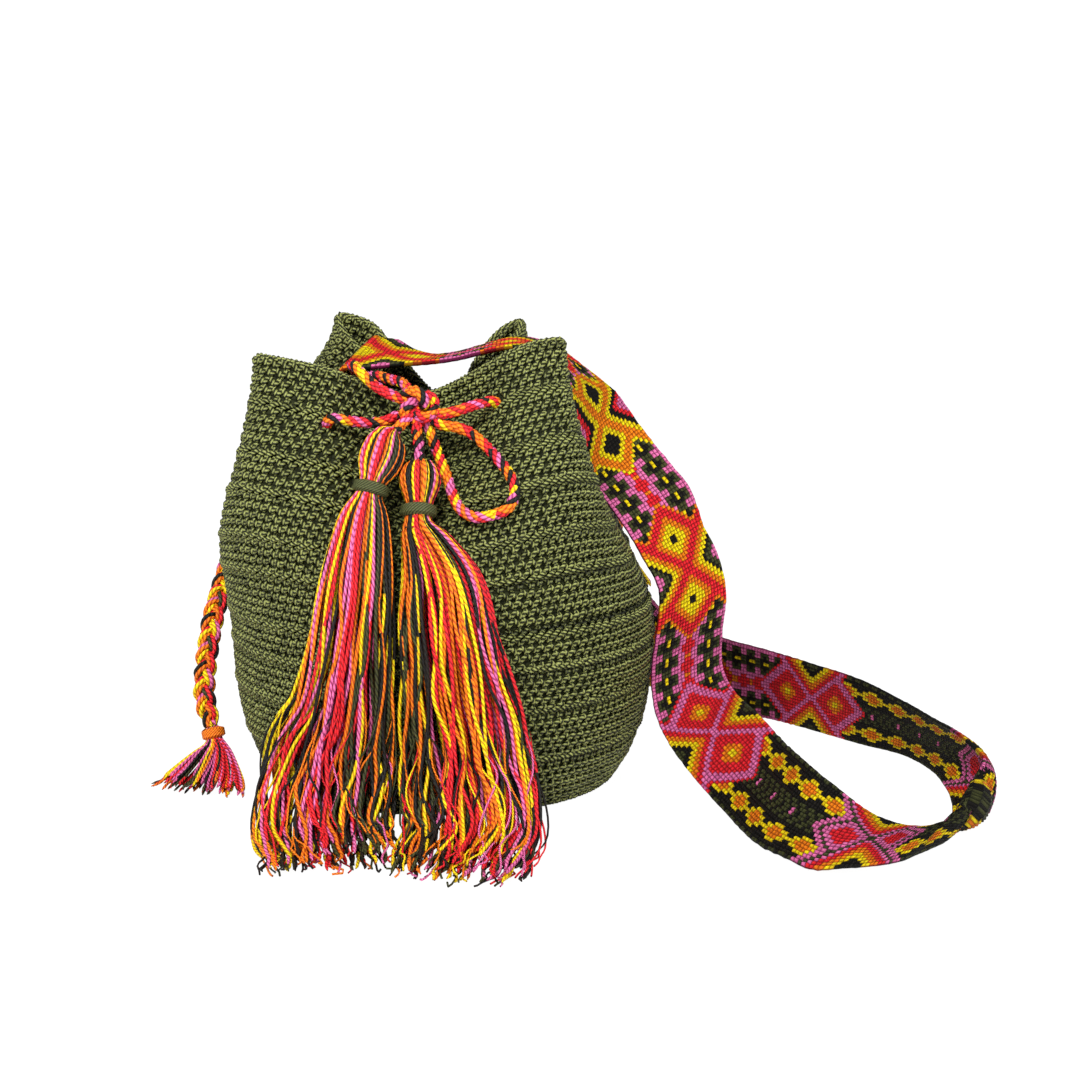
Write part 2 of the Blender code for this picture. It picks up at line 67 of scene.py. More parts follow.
# Rows read on a curve for each step that is kept
FINENESS = 3
# Direction that a path's first cross direction is square to, and the same for a yarn
UPWARD = (0.0, 0.3, 1.0)
YARN_START = (0.3, 0.0, 1.0)


def unit(v):
    return v / np.maximum(np.linalg.norm(v, axis=-1, keepdims=True), 1e-9)


def smooth(t):
    t = np.clip(t, 0.0, 1.0)
    return t * t * (3.0 - 2.0 * t)


def cubic(p0, p1, p2, p3, t):
    rise = p2 - p0
    bend = 2 * p0 - 5 * p1 + 4 * p2 - p3
    twist = 3 * p1 - p0 - 3 * p2 + p3
    return p1 + 0.5 * (rise * t + bend * t * t + twist * t**3)


def lengths(path):
    """Length along a path up to each of its points."""
    return np.concatenate([[0.0], np.cumsum(np.linalg.norm(np.diff(path, axis=0), axis=1))])


def curve_rows(rows, step):
    """Rows read along the smooth curve through the given rows, then spread evenly along its length."""
    rows = np.array(rows, float)
    last = len(rows) - 1
    dense = []
    for i in range(last):
        near = [rows[np.clip(i + k, 0, last)] for k in (-1, 0, 1, 2)]
        pieces = max(4, int(np.linalg.norm(rows[i + 1, :3] - rows[i, :3]) / step * FINENESS))
        t = np.arange(pieces)[:, None] / pieces
        dense.append(cubic(*near, t))
    dense = np.concatenate(dense + [rows[-1:]])
    gone = lengths(dense[:, :3])
    count = max(2, int(round(gone[-1] / step)) + 1)
    want = np.linspace(0.0, gone[-1], count)
    return np.stack([np.interp(want, gone, dense[:, k]) for k in range(dense.shape[1])], 1)


def directions(path):
    """Unit directions along paths of shape (..., k, 3)."""
    way = np.empty_like(path)
    way[..., 1:-1, :] = path[..., 2:, :] - path[..., :-2, :]
    way[..., 0, :] = path[..., 1, :] - path[..., 0, :]
    way[..., -1, :] = path[..., -1, :] - path[..., -2, :]
    return unit(way)


def turning_frame(path, start=UPWARD):
    """Two unit vectors across paths of shape (..., k, 3), carried along them without twist."""
    way = directions(path)
    side = unit(np.cross(way[..., 0, :], start))
    sides = [side]
    for k in range(1, path.shape[-2]):
        step = way[..., k, :]
        side = unit(side - step * (side * step).sum(-1, keepdims=True))
        sides.append(side)
    sides = np.stack(sides, -2)
    return sides, np.cross(way, sides)


# The bag's wall: the same shape as the frame's crochet_body

WALL_PROFILE = (
    (0, 97), (3, 107), (19, 117), (45, 126), (75, 130), (105, 131), (135, 130), (200, 134), (262, 137),
)
MOUTH_HEIGHT = 262.0
DEPTH_SHARE = 0.93
SAG_SHIFT = 3.0
LEAN = -14.5
LEAN_START = 90.0
LEAN_LENGTH = 100.0
RIM_ROUTE = (
    (-19, 60, -29, 265), (0, 48, 2, 266), (18, 48, 28, 267), (40, 53, 60, 281), (53, 38, 58, 276),
    (66, 24, 44, 262), (90, 5, 18, 236), (112, -26, 42, 262), (125, -43, 58, 279), (138, -66, 64, 285),
    (151, -64, 50, 277), (163, -50, 38, 262), (180, -46, 2, 256), (198, -58, -24, 252),
    (222, -106, -48, 269), (246, -62, -60, 262), (259, -32, -50, 250), (272, -2, -38, 246),
    (296, 38, -57, 268), (308, 60, -55, 277), (320, 78, -49, 278),
)
LIFT_START = 0.35
FOLD_START = 0.42
FOLD_POWER = 1.25
LOBE_POWER = 3.2
LOBES = 4
WALL = 4.0
# Steps in degrees and in level over which the wall's slope is read
TURN_STEP = 1.0
LEVEL_STEP = 0.01


def profile_radius(height):
    """Radius at a height: straight over the profile's two lowest spans, then smooth."""
    z, r = np.array(WALL_PROFILE, float).T
    last = len(z) - 1
    height = np.clip(height, 0.0, z[-1])
    i = np.clip(np.searchsorted(z, height, side="right") - 1, 0, last - 1)
    t = (height - z[i]) / (z[i + 1] - z[i])
    curve = cubic(r[np.clip(i - 1, 0, last)], r[i], r[i + 1], r[np.clip(i + 2, 0, last)], t)
    return np.where(i > 1, curve, r[i] + (r[i + 1] - r[i]) * t)


def rim_point(angle):
    """Points on the smooth closed curve through the rim's route."""
    rows = np.array(RIM_ROUTE, float)
    count = len(rows)
    first = rows[0, 0]
    angle = (angle - first) % 360.0 + first
    i = np.clip(np.searchsorted(rows[:, 0], angle, side="right") - 1, 0, count - 1)
    end = np.where(i + 1 < count, rows[(i + 1) % count, 0], first + 360.0)
    t = ((angle - rows[i, 0]) / (end - rows[i, 0]))[..., None]
    return cubic(*[rows[(i + k) % count, 1:] for k in (-1, 0, 1, 2)], t)


def wall_point(angle, level):
    """Points on the outside of the wall in millimetres: level 0 is the floor and 1 the rim."""
    angle, level = np.broadcast_arrays(np.asarray(angle, float), np.asarray(level, float))
    rim = rim_point(angle)
    height = level * MOUTH_HEIGHT
    lift = (rim[..., 2] - MOUTH_HEIGHT) * smooth((level - LIFT_START) / (1.0 - LIFT_START))
    radius = profile_radius(height)
    lean = SAG_SHIFT + (LEAN - SAG_SHIFT) * smooth((height - LEAN_START) / LEAN_LENGTH)
    turn = np.radians(angle)
    plain = np.stack([lean + radius * np.cos(turn), DEPTH_SHARE * radius * np.sin(turn)], -1)
    power = FOLD_POWER + (LOBE_POWER - FOLD_POWER) * 0.5 * (1.0 - np.cos(LOBES * turn))
    gather = smooth((level - FOLD_START) / (1.0 - FOLD_START)) ** power
    flat = plain + (rim[..., :2] - plain) * gather[..., None]
    return np.concatenate([flat, (height + lift)[..., None]], -1)


def wall_face(angle, level):
    """The wall's outward normal."""
    along = wall_point(angle + TURN_STEP, level) - wall_point(angle - TURN_STEP, level)
    above = wall_point(angle, np.minimum(level + LEVEL_STEP, 1.0))
    below = wall_point(angle, np.maximum(level - LEVEL_STEP, 0.0))
    return unit(np.cross(along, above - below))


# Rows where the front loops show as a chain, and how deep the cloth folds there
CHAIN_ROWS = (
    (0.12, 2.6), (0.24, 3.0), (0.335, 3.0), (0.43, 2.8), (0.53, 2.2), (0.614, 1.9), (0.708, 1.6),
    (0.80, 1.2), (0.894, 1.2),
)
CREASE_ABOVE = 0.011
CREASE_WIDTH = 0.0062
CREASE_DEPTH = 3.2
# The folds are deepest towards this angle, and even all round in the rows above a level
SAG_ANGLE = 325.0
SAG_LEAST = 0.15
SAG_REACH = 0.25
SAG_SPAN = 1.1
EVEN_FROM = 0.8


def crease(angle, level):
    """How far the cloth sinks in at its sagging folds, deepest low at the front right."""
    toward = np.cos(np.radians(angle) - math.radians(SAG_ANGLE))
    side = SAG_LEAST + (1.0 - SAG_LEAST) * smooth((toward + SAG_REACH) / SAG_SPAN)
    found = np.zeros(np.broadcast(angle, level).shape)
    for row, depth in CHAIN_ROWS:
        near = (level - row - CREASE_ABOVE) / CREASE_WIDTH
        found = found + depth * np.exp(-near * near) * (side if row < EVEN_FROM else 1.0)
    return found


def wall_at(angle, level, out):
    """Points at a distance out from the wall, with its folds."""
    return wall_point(angle, level) + wall_face(angle, level) * (out - crease(angle, level))[..., None]


# Meshes

# Share of its radius that a yarn keeps at a cut end
CUT_END = 0.35


def mesh_object(name, points, faces, body, uv, tones, materials, slot, replaced=None, colours=None):
    """A mesh in metres from points in millimetres and quads, riding on a body of the frame."""
    mesh = bpy.data.meshes.new(name)
    points = np.ascontiguousarray(points, np.float32).reshape(-1, 3) * MM
    faces = np.ascontiguousarray(faces, np.int32)
    mesh.vertices.add(len(points))
    mesh.vertices.foreach_set("co", points.ravel())
    mesh.loops.add(faces.size)
    mesh.loops.foreach_set("vertex_index", faces.ravel())
    mesh.polygons.add(len(faces))
    mesh.polygons.foreach_set("loop_start", np.arange(0, faces.size, 4, dtype=np.int32))
    if colours is not None:
        mesh.polygons.foreach_set("material_index", np.ascontiguousarray(colours, np.int32))
    mesh.update(calc_edges=True)
    layer = mesh.uv_layers.new(name="UVMap")
    layer.data.foreach_set("uv", np.ascontiguousarray(uv, np.float32).ravel())
    tone = mesh.attributes.new("tone", "FLOAT", "FACE")
    tone.data.foreach_set("value", np.ascontiguousarray(tones, np.float32))
    mesh.polygons.foreach_set("use_smooth", np.ones(len(faces), bool))
    for material in materials:
        mesh.materials.append(material)
    obj = new_object(name, mesh)
    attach(obj, body)
    if replaced:
        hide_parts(replaced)
    return obj


def grid_faces(index):
    """Quads between the rows and columns of a grid of point numbers."""
    low, high = index[:-1], index[1:]
    return np.stack([low[:, :-1], low[:, 1:], high[:, 1:], high[:, :-1]], -1).reshape(-1, 4)


def grid_places(across, down):
    """UVs of a grid of points, from a value for each column and one for each row."""
    return np.stack(np.broadcast_arrays(across, np.reshape(down, (-1, 1))), -1).reshape(-1, 2)


def tube_parts(paths, radii, sides, pitch, up=None, cut_ends=False):
    """Points, faces, UVs and (tubes, stretches, sides) of round yarns along paths of shape (n, k, 3)."""
    paths = np.asarray(paths, float)
    count, steps = paths.shape[:2]
    radii = np.broadcast_to(np.asarray(radii, float), (count, steps)).copy()
    if cut_ends:
        radii[:, [0, -1]] *= CUT_END
    if up is None:
        across, face = turning_frame(paths, YARN_START)
    else:
        way = directions(paths)
        across = unit(np.cross(way, up))
        face = np.cross(across, way)
    turn = 2 * math.pi * np.arange(sides) / sides
    ring = across[:, :, None] * np.cos(turn)[:, None] + face[:, :, None] * np.sin(turn)[:, None]
    points = paths[:, :, None] + ring * radii[:, :, None, None]
    gone = np.zeros((count, steps))
    gone[:, 1:] = np.cumsum(np.linalg.norm(np.diff(paths, axis=1), axis=2), axis=1)
    index = np.arange(count * steps * sides).reshape(count, steps, sides)
    low, high = index[:, :-1], index[:, 1:]
    faces = np.stack([low, np.roll(low, -1, 2), np.roll(high, -1, 2), high], -1).reshape(-1, 4)
    along = np.broadcast_to((gone / pitch)[:, :, None], (count, steps, sides))
    around = np.broadcast_to(np.arange(sides) / sides, (count, steps, sides))
    nxt = around + 1.0 / sides
    uv = np.stack([
        np.stack([along[:, :-1], around[:, :-1]], -1), np.stack([along[:, :-1], nxt[:, :-1]], -1),
        np.stack([along[:, 1:], nxt[:, 1:]], -1), np.stack([along[:, 1:], around[:, 1:]], -1),
    ], 3).reshape(-1, 4, 2)
    return points.reshape(-1, 3), faces, uv, (count, steps - 1, sides)


def add_yarns(name, body, groups, materials, slot, replaced=None):
    """One object of yarn tubes. Each group is (parts from tube_parts, colours, tones).

    Colours and tones are single values, or one for each tube or for each stretch of each tube.
    """
    parts = []
    shift = 0
    for (points, faces, uv, shape), *looks in groups:
        looks = [look[..., None] if np.ndim(look) > 1 else np.reshape(look, (-1, 1, 1)) for look in looks]
        looks = [np.broadcast_to(look, shape).ravel() for look in looks]
        parts.append((points, faces + shift, uv, *looks))
        shift += len(points)
    points, faces, uv, colours, tones = [np.concatenate(kind) for kind in zip(*parts)]
    return mesh_object(name, points, faces, body, uv, tones, materials, slot, replaced, colours)


# Materials

YARN_SHINE = 0.3
KNOT_SHINE = 0.12
YARN_PLIES = 2.0
KNOT_ROUNDNESS = 0.4
FUZZ_SHARE = 0.35
TONE_LEAST = 0.5
TONE_RANGE = 0.8


def new_material(name, rough, shine):
    """A plain material, with its nodes, its links and its shader."""
    material = bpy.data.materials.new(name)
    material.use_nodes = True
    shader = material.node_tree.nodes["Principled BSDF"]
    shader.inputs["Roughness"].default_value = rough
    shader.inputs["Specular IOR Level"].default_value = shine
    return material, material.node_tree.nodes, material.node_tree.links, shader


def add_maths(nodes, links, operation, *values):
    """The output of a maths node that is given numbers or other nodes' outputs."""
    made = nodes.new("ShaderNodeMath")
    made.operation = operation
    for socket, value in zip(made.inputs, values):
        if isinstance(value, float):
            socket.default_value = value
        else:
            links.new(value, socket)
    return made.outputs[0]


def yarn_material(name, dark, light, depth=0.45, rough=0.6, contrast=1.0, knotted=False):
    """Matt yarn: twist lines or round knots read from the UVs, with painted highlight on ridges and painted
    shade in grooves.
    """
    material, nodes, links, shader = new_material(name, rough, KNOT_SHINE if knotted else YARN_SHINE)

    def maths(*values):
        return add_maths(nodes, links, *values)

    split = nodes.new("ShaderNodeSeparateXYZ")
    links.new(nodes.new("ShaderNodeUVMap").outputs[0], split.inputs[0])
    if knotted:
        u = maths("ABSOLUTE", maths("SINE", maths("MULTIPLY", split.outputs[0], math.pi)))
        v = maths("ABSOLUTE", maths("SINE", maths("MULTIPLY", split.outputs[1], math.pi)))
        wave = maths("POWER", maths("MULTIPLY", u, v), KNOT_ROUNDNESS)
    else:
        turn = maths("ADD", split.outputs[0], maths("MULTIPLY", split.outputs[1], YARN_PLIES))
        wave = maths("ABSOLUTE", maths("SINE", maths("MULTIPLY", turn, math.pi)))
    fuzz = nodes.new("ShaderNodeTexNoise")
    fuzz.inputs["Scale"].default_value = 2600.0
    fuzz.inputs["Detail"].default_value = 1.0
    links.new(nodes.new("ShaderNodeTexCoord").outputs["Object"], fuzz.inputs["Vector"])
    height = maths("ADD", wave, maths("MULTIPLY", fuzz.outputs[0], FUZZ_SHARE))
    bump = nodes.new("ShaderNodeBump")
    bump.inputs["Strength"].default_value = depth
    bump.inputs["Distance"].default_value = 0.0012
    links.new(height, bump.inputs["Height"])
    links.new(bump.outputs[0], shader.inputs["Normal"])
    tone = nodes.new("ShaderNodeAttribute")
    tone.attribute_name = "tone"
    # Painted highlight on the ridges and painted shade in the grooves, scaled by the tone
    share = maths("ADD", maths("MULTIPLY", tone.outputs["Fac"], TONE_RANGE), TONE_LEAST)
    share = maths("MULTIPLY", maths("POWER", wave, contrast), share)
    ramp = nodes.new("ShaderNodeMix")
    ramp.data_type = "RGBA"
    ramp.inputs[6].default_value = (*dark, 1.0)
    ramp.inputs[7].default_value = (*light, 1.0)
    links.new(share, ramp.inputs[0])
    links.new(ramp.outputs[2], shader.inputs["Base Color"])
    return material


PINK, RED, ORANGE, YELLOW, OLIVE, BLACK = range(6)
# Each yarn's dark colour is painted shade in its grooves, and its light colour painted highlight on its
# ridges
SHADES = (
    ("pink_yarn", (0.24, 0.014, 0.09), (0.93, 0.20, 0.47)),
    ("red_yarn", (0.22, 0.002, 0.008), (0.95, 0.020, 0.030)),
    ("orange_yarn", (0.42, 0.045, 0.002), (1.0, 0.26, 0.006)),
    ("yellow_yarn", (0.50, 0.22, 0.001), (1.0, 0.80, 0.004)),
    ("olive_yarn", (0.004, 0.005, 0.0015), (0.066, 0.071, 0.021)),
    ("black_yarn", (0.001, 0.001, 0.001), (0.010, 0.008, 0.006)),
)
# Share of a yarn's dark and light colours in the strap's knots, whose dark colour is painted shade between
# the knots
KNOT_DARK = 0.45
KNOT_LIGHT = 0.88
# The crochet yarn's sharp contrast gives narrow, bright painted highlights on its plies
stitch_yarn = yarn_material(
    "crochet_yarn", (0.005, 0.007, 0.0015), (0.315, 0.34, 0.098), depth=0.6, rough=0.5, contrast=3.4,
)
# Near-black cloth knots: painted shade for the gaps between stitches and the bag's inside
shade_cloth_knots = yarn_material(
    "crochet_shade_cloth", (0.004, 0.005, 0.0015), (0.040, 0.045, 0.013), depth=0.8, knotted=True,
)
wrap_yarn = yarn_material("wrap_yarn", (0.006, 0.008, 0.003), (0.10, 0.112, 0.036), depth=0.5, rough=0.5)
yarns = [yarn_material(*shade, contrast=1.2) for shade in SHADES]
strap_knots = [
    yarn_material(
        name.replace("yarn", "knots"), [value * KNOT_DARK for value in dark],
        [value * KNOT_LIGHT for value in light], depth=0.9, knotted=True,
    )
    for name, dark, light in SHADES
]


# Twisted cords, windings and yarn bundles

CORD_DIAMETER = 6.5
CORD_STRANDS = 4
CORD_WEIGHTS = (0.17, 0.26, 0.28, 0.13, 0.0, 0.16)
CORD_PATCH = 8.0
STRAND_SWELL = 1.12
STRAND_TONES = (0.35, 0.75)
THREAD_SWELL = 1.05
THREAD_TONE = 0.6
# Steps of a wound thread in one turn, the direction that its start is square to, and the share by which
# each of its layers is shorter than the last
WINDING_STEPS = 20
WINDING_START = (0.0, 1.0, 0.2)
LAYER_STEP = 0.16


def lay_round(path, count, offset, pitch):
    """Centre lines of strands twisted together round a path."""
    sides, ups = turning_frame(path)
    gone = lengths(path)
    strands = []
    for k in range(count):
        turn = 2 * math.pi * (gone / pitch + k / count)
        aside = sides * (offset * np.cos(turn))[:, None]
        strands.append(path + aside + ups * (offset * np.sin(turn))[:, None])
    return np.stack(strands)


def cord_group(path, seed=5):
    """A cord of four twisted strands that change colour down their length, as one group for add_yarns."""
    rng = np.random.default_rng(seed)
    half = math.sin(math.pi / CORD_STRANDS)
    offset = CORD_DIAMETER / 2 / (1.0 + half)
    strands = lay_round(path, CORD_STRANDS, offset, pitch=16.0)
    tubes = tube_parts(strands, offset * half * STRAND_SWELL, sides=6, pitch=3.0, cut_ends=True)
    starts = rng.uniform(0.0, 1.0, (CORD_STRANDS, 1))
    patch = (lengths(path)[None, :-1] / CORD_PATCH + starts).astype(int)
    shades = rng.choice(len(CORD_WEIGHTS), (CORD_STRANDS, patch.max() + 1), p=CORD_WEIGHTS)
    return tubes, np.take_along_axis(shades, patch, 1), np.linspace(*STRAND_TONES, CORD_STRANDS)


def winding_group(place, along, radii, height, thread):
    """Thread wound round a neck in layers, as one group for add_yarns."""
    along = unit(np.array(along, float))
    side = unit(np.cross(along, WINDING_START))
    up = np.cross(along, side)
    turns = round(height / (2.0 * thread))
    turn = np.linspace(0.0, 2 * math.pi * turns, turns * WINDING_STEPS + 1)
    climb = (turn / turn[-1] - 0.5) * (height - 2.0 * thread)
    circle = side * np.cos(turn)[:, None] + up * np.sin(turn)[:, None]
    layers = []
    for layer, radius in enumerate(radii):
        rise = along * climb[:, None] * (1.0 - LAYER_STEP * layer)
        layers.append(np.array(place, float) + rise + circle * radius)
    tubes = tube_parts(np.stack(layers), thread * THREAD_SWELL, sides=6, pitch=2.0)
    return tubes, 0, THREAD_TONE


# Distance aside in a bundle, as a share of its reach, from which every second yarn is dark, partly as
# painted shade between the two tassels
DARK_FROM = 0.45
# Reach of a bundle's yarns, over and over: six outside, three further in and one near the middle
YARN_REACH = (1.0,) * 6 + (0.66,) * 3 + (0.25,)
MOST_REACH = 1.04
UNEVEN = 0.05
# Yarns sway more and more over this length below the neck, in waves of these lengths
FREE_LENGTH = 90.0
SWAY_LENGTHS = (60.0, 160.0)
SWAY_TURN = 0.09
SWAY_REACH = 0.07
# Yarns curl over the last part of the bundle: how far, and in waves of what length, sideways and up
TIP_START = 0.75
TIP_SHARE = 0.3
CURLS = ((0.9, 21.0), (0.6, 25.0))
FLOOR_CLEAR = 1.05


def pick_colours(count, weights, rng):
    """A colour for each yarn, in runs of one or two."""
    picked = []
    while len(picked) < count:
        colour = int(rng.choice(len(weights), p=np.array(weights) / sum(weights)))
        picked += [colour] * int(rng.integers(1, 3))
    return np.array(picked[:count])


def darken_side(colours, toward):
    """The bundle's colours with more black and olive yarns on its right (1) or left (-1) side, partly as
    painted shade.
    """
    place = np.arange(len(colours))
    aside = toward * np.cos(2 * math.pi * place / len(colours)) > DARK_FROM
    return np.where(aside & (place % 2 > 0), np.where(place % 4 == 1, BLACK, OLIVE), colours)


def bundle_paths(rows, count, radius, rng, neck, steps=62, wander=1.0, trims=(0.86, 1.0)):
    """Centre lines of loose yarns that fill a bundle with rows of x, y, z, half width and half depth."""
    rows = curve_rows(rows, step=2.0)
    gone = lengths(rows[:, :3])
    way = directions(rows[:, :3])
    side = unit(np.array((1.0, 0.0, 0.0)) - way * way[:, :1])
    depth = np.cross(way, side)
    reach = np.array(YARN_REACH)[np.arange(count) % len(YARN_REACH)] + rng.normal(0.0, UNEVEN, count)
    reach = np.minimum(reach, MOST_REACH)[:, None]
    phase = (2 * math.pi * np.arange(count) / count + rng.normal(0.0, UNEVEN, count))[:, None]
    ends = rng.uniform(*trims, count)[:, None]
    at = np.linspace(0.0, 1.0, steps)[None] * ends * gone[-1]
    free = smooth((at - neck) / FREE_LENGTH)
    waves = rng.uniform(0.0, 2 * math.pi, (4, count, 1))
    spans = rng.uniform(*SWAY_LENGTHS, (2, count, 1))
    phase = phase + free * SWAY_TURN * wander * np.sin(2 * math.pi * at / spans[0] + waves[0])
    reach = reach + free * SWAY_REACH * wander * np.sin(2 * math.pi * at / spans[1] + waves[1])

    def along(values):
        return np.stack([np.interp(at, gone, values[:, k]) for k in range(values.shape[1])], -1)

    rows, axes = along(rows), (along(side), along(depth))
    paths = rows[..., :3]
    for k, share in enumerate((np.cos(phase), np.sin(phase))):
        paths = paths + axes[k] * ((rows[..., 3 + k] - radius) * reach * share)[..., None]
    tip = smooth((at / gone[-1] - TIP_START) / TIP_SHARE) * wander
    curls = 0.0
    for axis, wave, (far, span) in zip(axes, waves[2:], CURLS):
        curl = np.sin(2 * math.pi * at / span + wave) * rng.normal(0.0, far, (count, 1))
        curls = curls + axis * curl[..., None]
    paths = paths + curls * tip[..., None]
    paths[..., 2] = np.maximum(paths[..., 2], radius * FLOOR_CLEAR)
    return paths


# Drawstring: the cord's routes are the frame's, with the loop's ends a little aside under the knot

CORD_CLEAR = 1.5
LEFT_EYELET = (247.0, 0.885)
RIGHT_EYELET = (295.0, 0.905)
INSIDE_LEVEL = 0.84
INSIDE_ANGLES = (
    236, 225, 213, 198, 180, 163, 150, 138, 126, 112, 90, 67, 53, 40, 28, 15, 0, -18, -31, -43, -54,
)
LEFT_RUN = ((-57, -79, 235.5), (-49, -79, 234.3), (-39, -79, 233), (-28, -79, 233.5), (-18, -79, 238))
RIGHT_RUN = ((0, -80, 239), (8, -81, 238.5), (17, -80, 240.5), (26, -76, 243))
KNOT_CENTRE = (-7.5, -79.0, 242.5)
LOOP_ROUTE = (
    (-1, -81, 236.5), (6, -80.5, 232), (14.5, -81, 230.5), (23, -83, 227.5), (31.5, -88, 221),
    (38.5, -94, 214.3), (46, -101, 205.5), (49, -105, 196.3), (45, -108.5, 187.6), (36, -110.5, 184),
    (26, -109.5, 182.6), (17.3, -103, 186.6), (12.4, -95, 194.6), (9, -88, 203.6), (4.5, -83, 214),
    (1, -80, 223), (-2, -79, 232), (-4.5, -79, 238),
)
UPPER_TIE_ROUTE = ((-40, -25, 254), (-33, -37, 255.5), (-25, -48, 254.5), (-17, -60, 253.5), (-9, -75, 246))
LOWER_TIE_ROUTE = (
    (-47, -34, 258), (-48, -46, 262.5), (-45, -57, 263), (-38, -65, 257), (-31, -69, 252),
    (-22, -74, 248), (-12, -78, 245),
)


def off_wall(places):
    """Points on and off the wall, from rows of angle, level and distance out."""
    angle, level, out = np.array(places, float).T
    return wall_point(angle, level) + wall_face(angle, level) * out[:, None]


def free_cord(name, route):
    """A free stretch of the drawstring."""
    path = curve_rows(route, step=1.5)
    group = cord_group(path, len(route))
    obj = add_yarns(name + "_cord", "bag", [group], yarns, "drawstring_yarn", name)


def make_drawstring():
    """The cord from the knot through the left eyelet, round inside the mouth and out at the right eyelet."""
    inset = -(WALL + CORD_DIAMETER / 2 + CORD_CLEAR)
    out = CORD_DIAMETER / 2 + CORD_CLEAR
    left = off_wall([(*LEFT_EYELET, depth) for depth in (out, -WALL / 2, inset)])
    inside = off_wall([(angle, INSIDE_LEVEL, inset) for angle in INSIDE_ANGLES])
    right = off_wall([(*RIGHT_EYELET, depth) for depth in (inset, -WALL / 2, out)])
    route = np.concatenate([LEFT_RUN[::-1], left, inside, right, RIGHT_RUN[::-1]])
    group = cord_group(curve_rows(route, step=2.2))
    add_yarns("drawstring_cord", "bag", [group], yarns, "drawstring_yarn", "drawstring")


def make_knot():
    """The knot: the cord passes twice round a ring and three times through it."""
    turn = np.linspace(0.0, 2 * math.pi, num=121)
    rounds, passes = 2, 3
    ring, swell, deep = 6.6, 3.3, 5.8
    across = ring + swell * np.cos(passes * turn)
    spread = (across * np.cos(rounds * turn), deep * np.sin(passes * turn), across * np.sin(rounds * turn))
    group = cord_group(np.stack(spread, 1) + KNOT_CENTRE)
    add_yarns("drawstring_knot_turns", "bag", [group], yarns, "drawstring_yarn", "drawstring_knot")


free_cord("drawstring_loop", LOOP_ROUTE)
free_cord("strap_tie_upper", UPPER_TIE_ROUTE)
free_cord("strap_tie_lower", LOWER_TIE_ROUTE)
make_drawstring()
make_knot()


# Crocheted wall

AROUND = 130
ROWS = 51
STITCH_WIDTH = 360.0 / AROUND
STITCH_HEIGHT = 1.0 / ROWS
BANDS = 4
INSIDE_FROM = 0.74
# Height of the yarns' centre lines over the wall, and of the cloth under them
SURFACE = -0.75
CLOTH = -1.5
EYELET_CLEAR = 4.2
TOP_LEVEL = 1.004
# Each row starts a little later than the one below, and every second one half a stitch later
ROW_SHIFT = 0.06
STITCH_LEAN = 0.12
# A stitch's two legs, in points of widths across, heights up and millimetres out, and its front loop
STITCH_LEGS = (
    ((0.02, -0.52, -0.6), (-0.10, -0.26, 0.35), (-0.32, 0.10, 0.65), (-0.58, 0.36, -0.1)),
    ((-0.02, -0.52, -0.6), (0.14, -0.26, 0.35), (0.36, 0.10, 0.65), (0.62, 0.36, -0.1)),
)
FRONT_LOOP = ((-0.595, 0.13, 0.9), (-0.193, 0.40, 1.65), (0.209, 0.69, 1.65), (0.606, 0.80, 0.7))
LEG_RADIUS = 1.4
LOOP_RADIUS = 1.3
YARN_TAPER = (0.75, 1.0, 1.0, 0.75)
# Unevenness of the stitches in widths, heights, thickness and tone
STITCH_JITTER = (0.07, 0.05, 0.06, 0.16)
STITCH_TONE = 0.48
LOOP_TONE = 0.34
# Painted shade in the folds: tone taken off a stitch where the cloth sinks in, in step with the depth
PAINTED_CREASE_SHADE = 1.15
# Painted shade: the low tone of the cloth under the stitches
CLOTH_TONE = 0.3
# Height of the cloth under the base, and its rings from one share of the floor's edge to another
BASE_LIFT = 0.9
BASE_SHARES = (0.03, 0.96)
INNER_BASE_SHARES = (0.93, 0.03)
BASE_LINES = 12
BASE_KNOTS = 18.0
# How far the cloth's inner face stands in from the wall's, with stitches over it and without
LINED = 1.1
BARE = 0.6
RIM_DROP = 0.3
RIM_TONES = (0.6, 0.75)
BASE_RINGS = 17
BASE_START = 0.6
BASE_TURN = 0.3
BASE_SPACING = 0.78
BASE_LEG = ((0.0, -0.6, 0.5), (0.28, -0.1, -0.25), (0.42, 0.55, 0.3))
BASE_HEIGHT = 1.35
BASE_TONE = 0.5


def stitch_grid(first_level):
    """Angle and level of each stitch, and whether its row shows a chain."""
    row, col = np.indices((ROWS, AROUND))
    level = (row + 0.5) / ROWS
    angle = (col + ROW_SHIFT * row + 0.5 * (row % 2)) * STITCH_WIDTH
    chain = np.zeros(level.shape, bool)
    for place, _ in CHAIN_ROWS:
        chain |= np.abs(level - place) < 0.5 / ROWS + 1e-6
    keep = level >= first_level
    for eyelet in (LEFT_EYELET, RIGHT_EYELET):
        gap = wall_point(angle, level) - wall_point(*eyelet)
        keep &= np.linalg.norm(gap, axis=-1) > EYELET_CLEAR
    return angle[keep], level[keep], chain[keep]


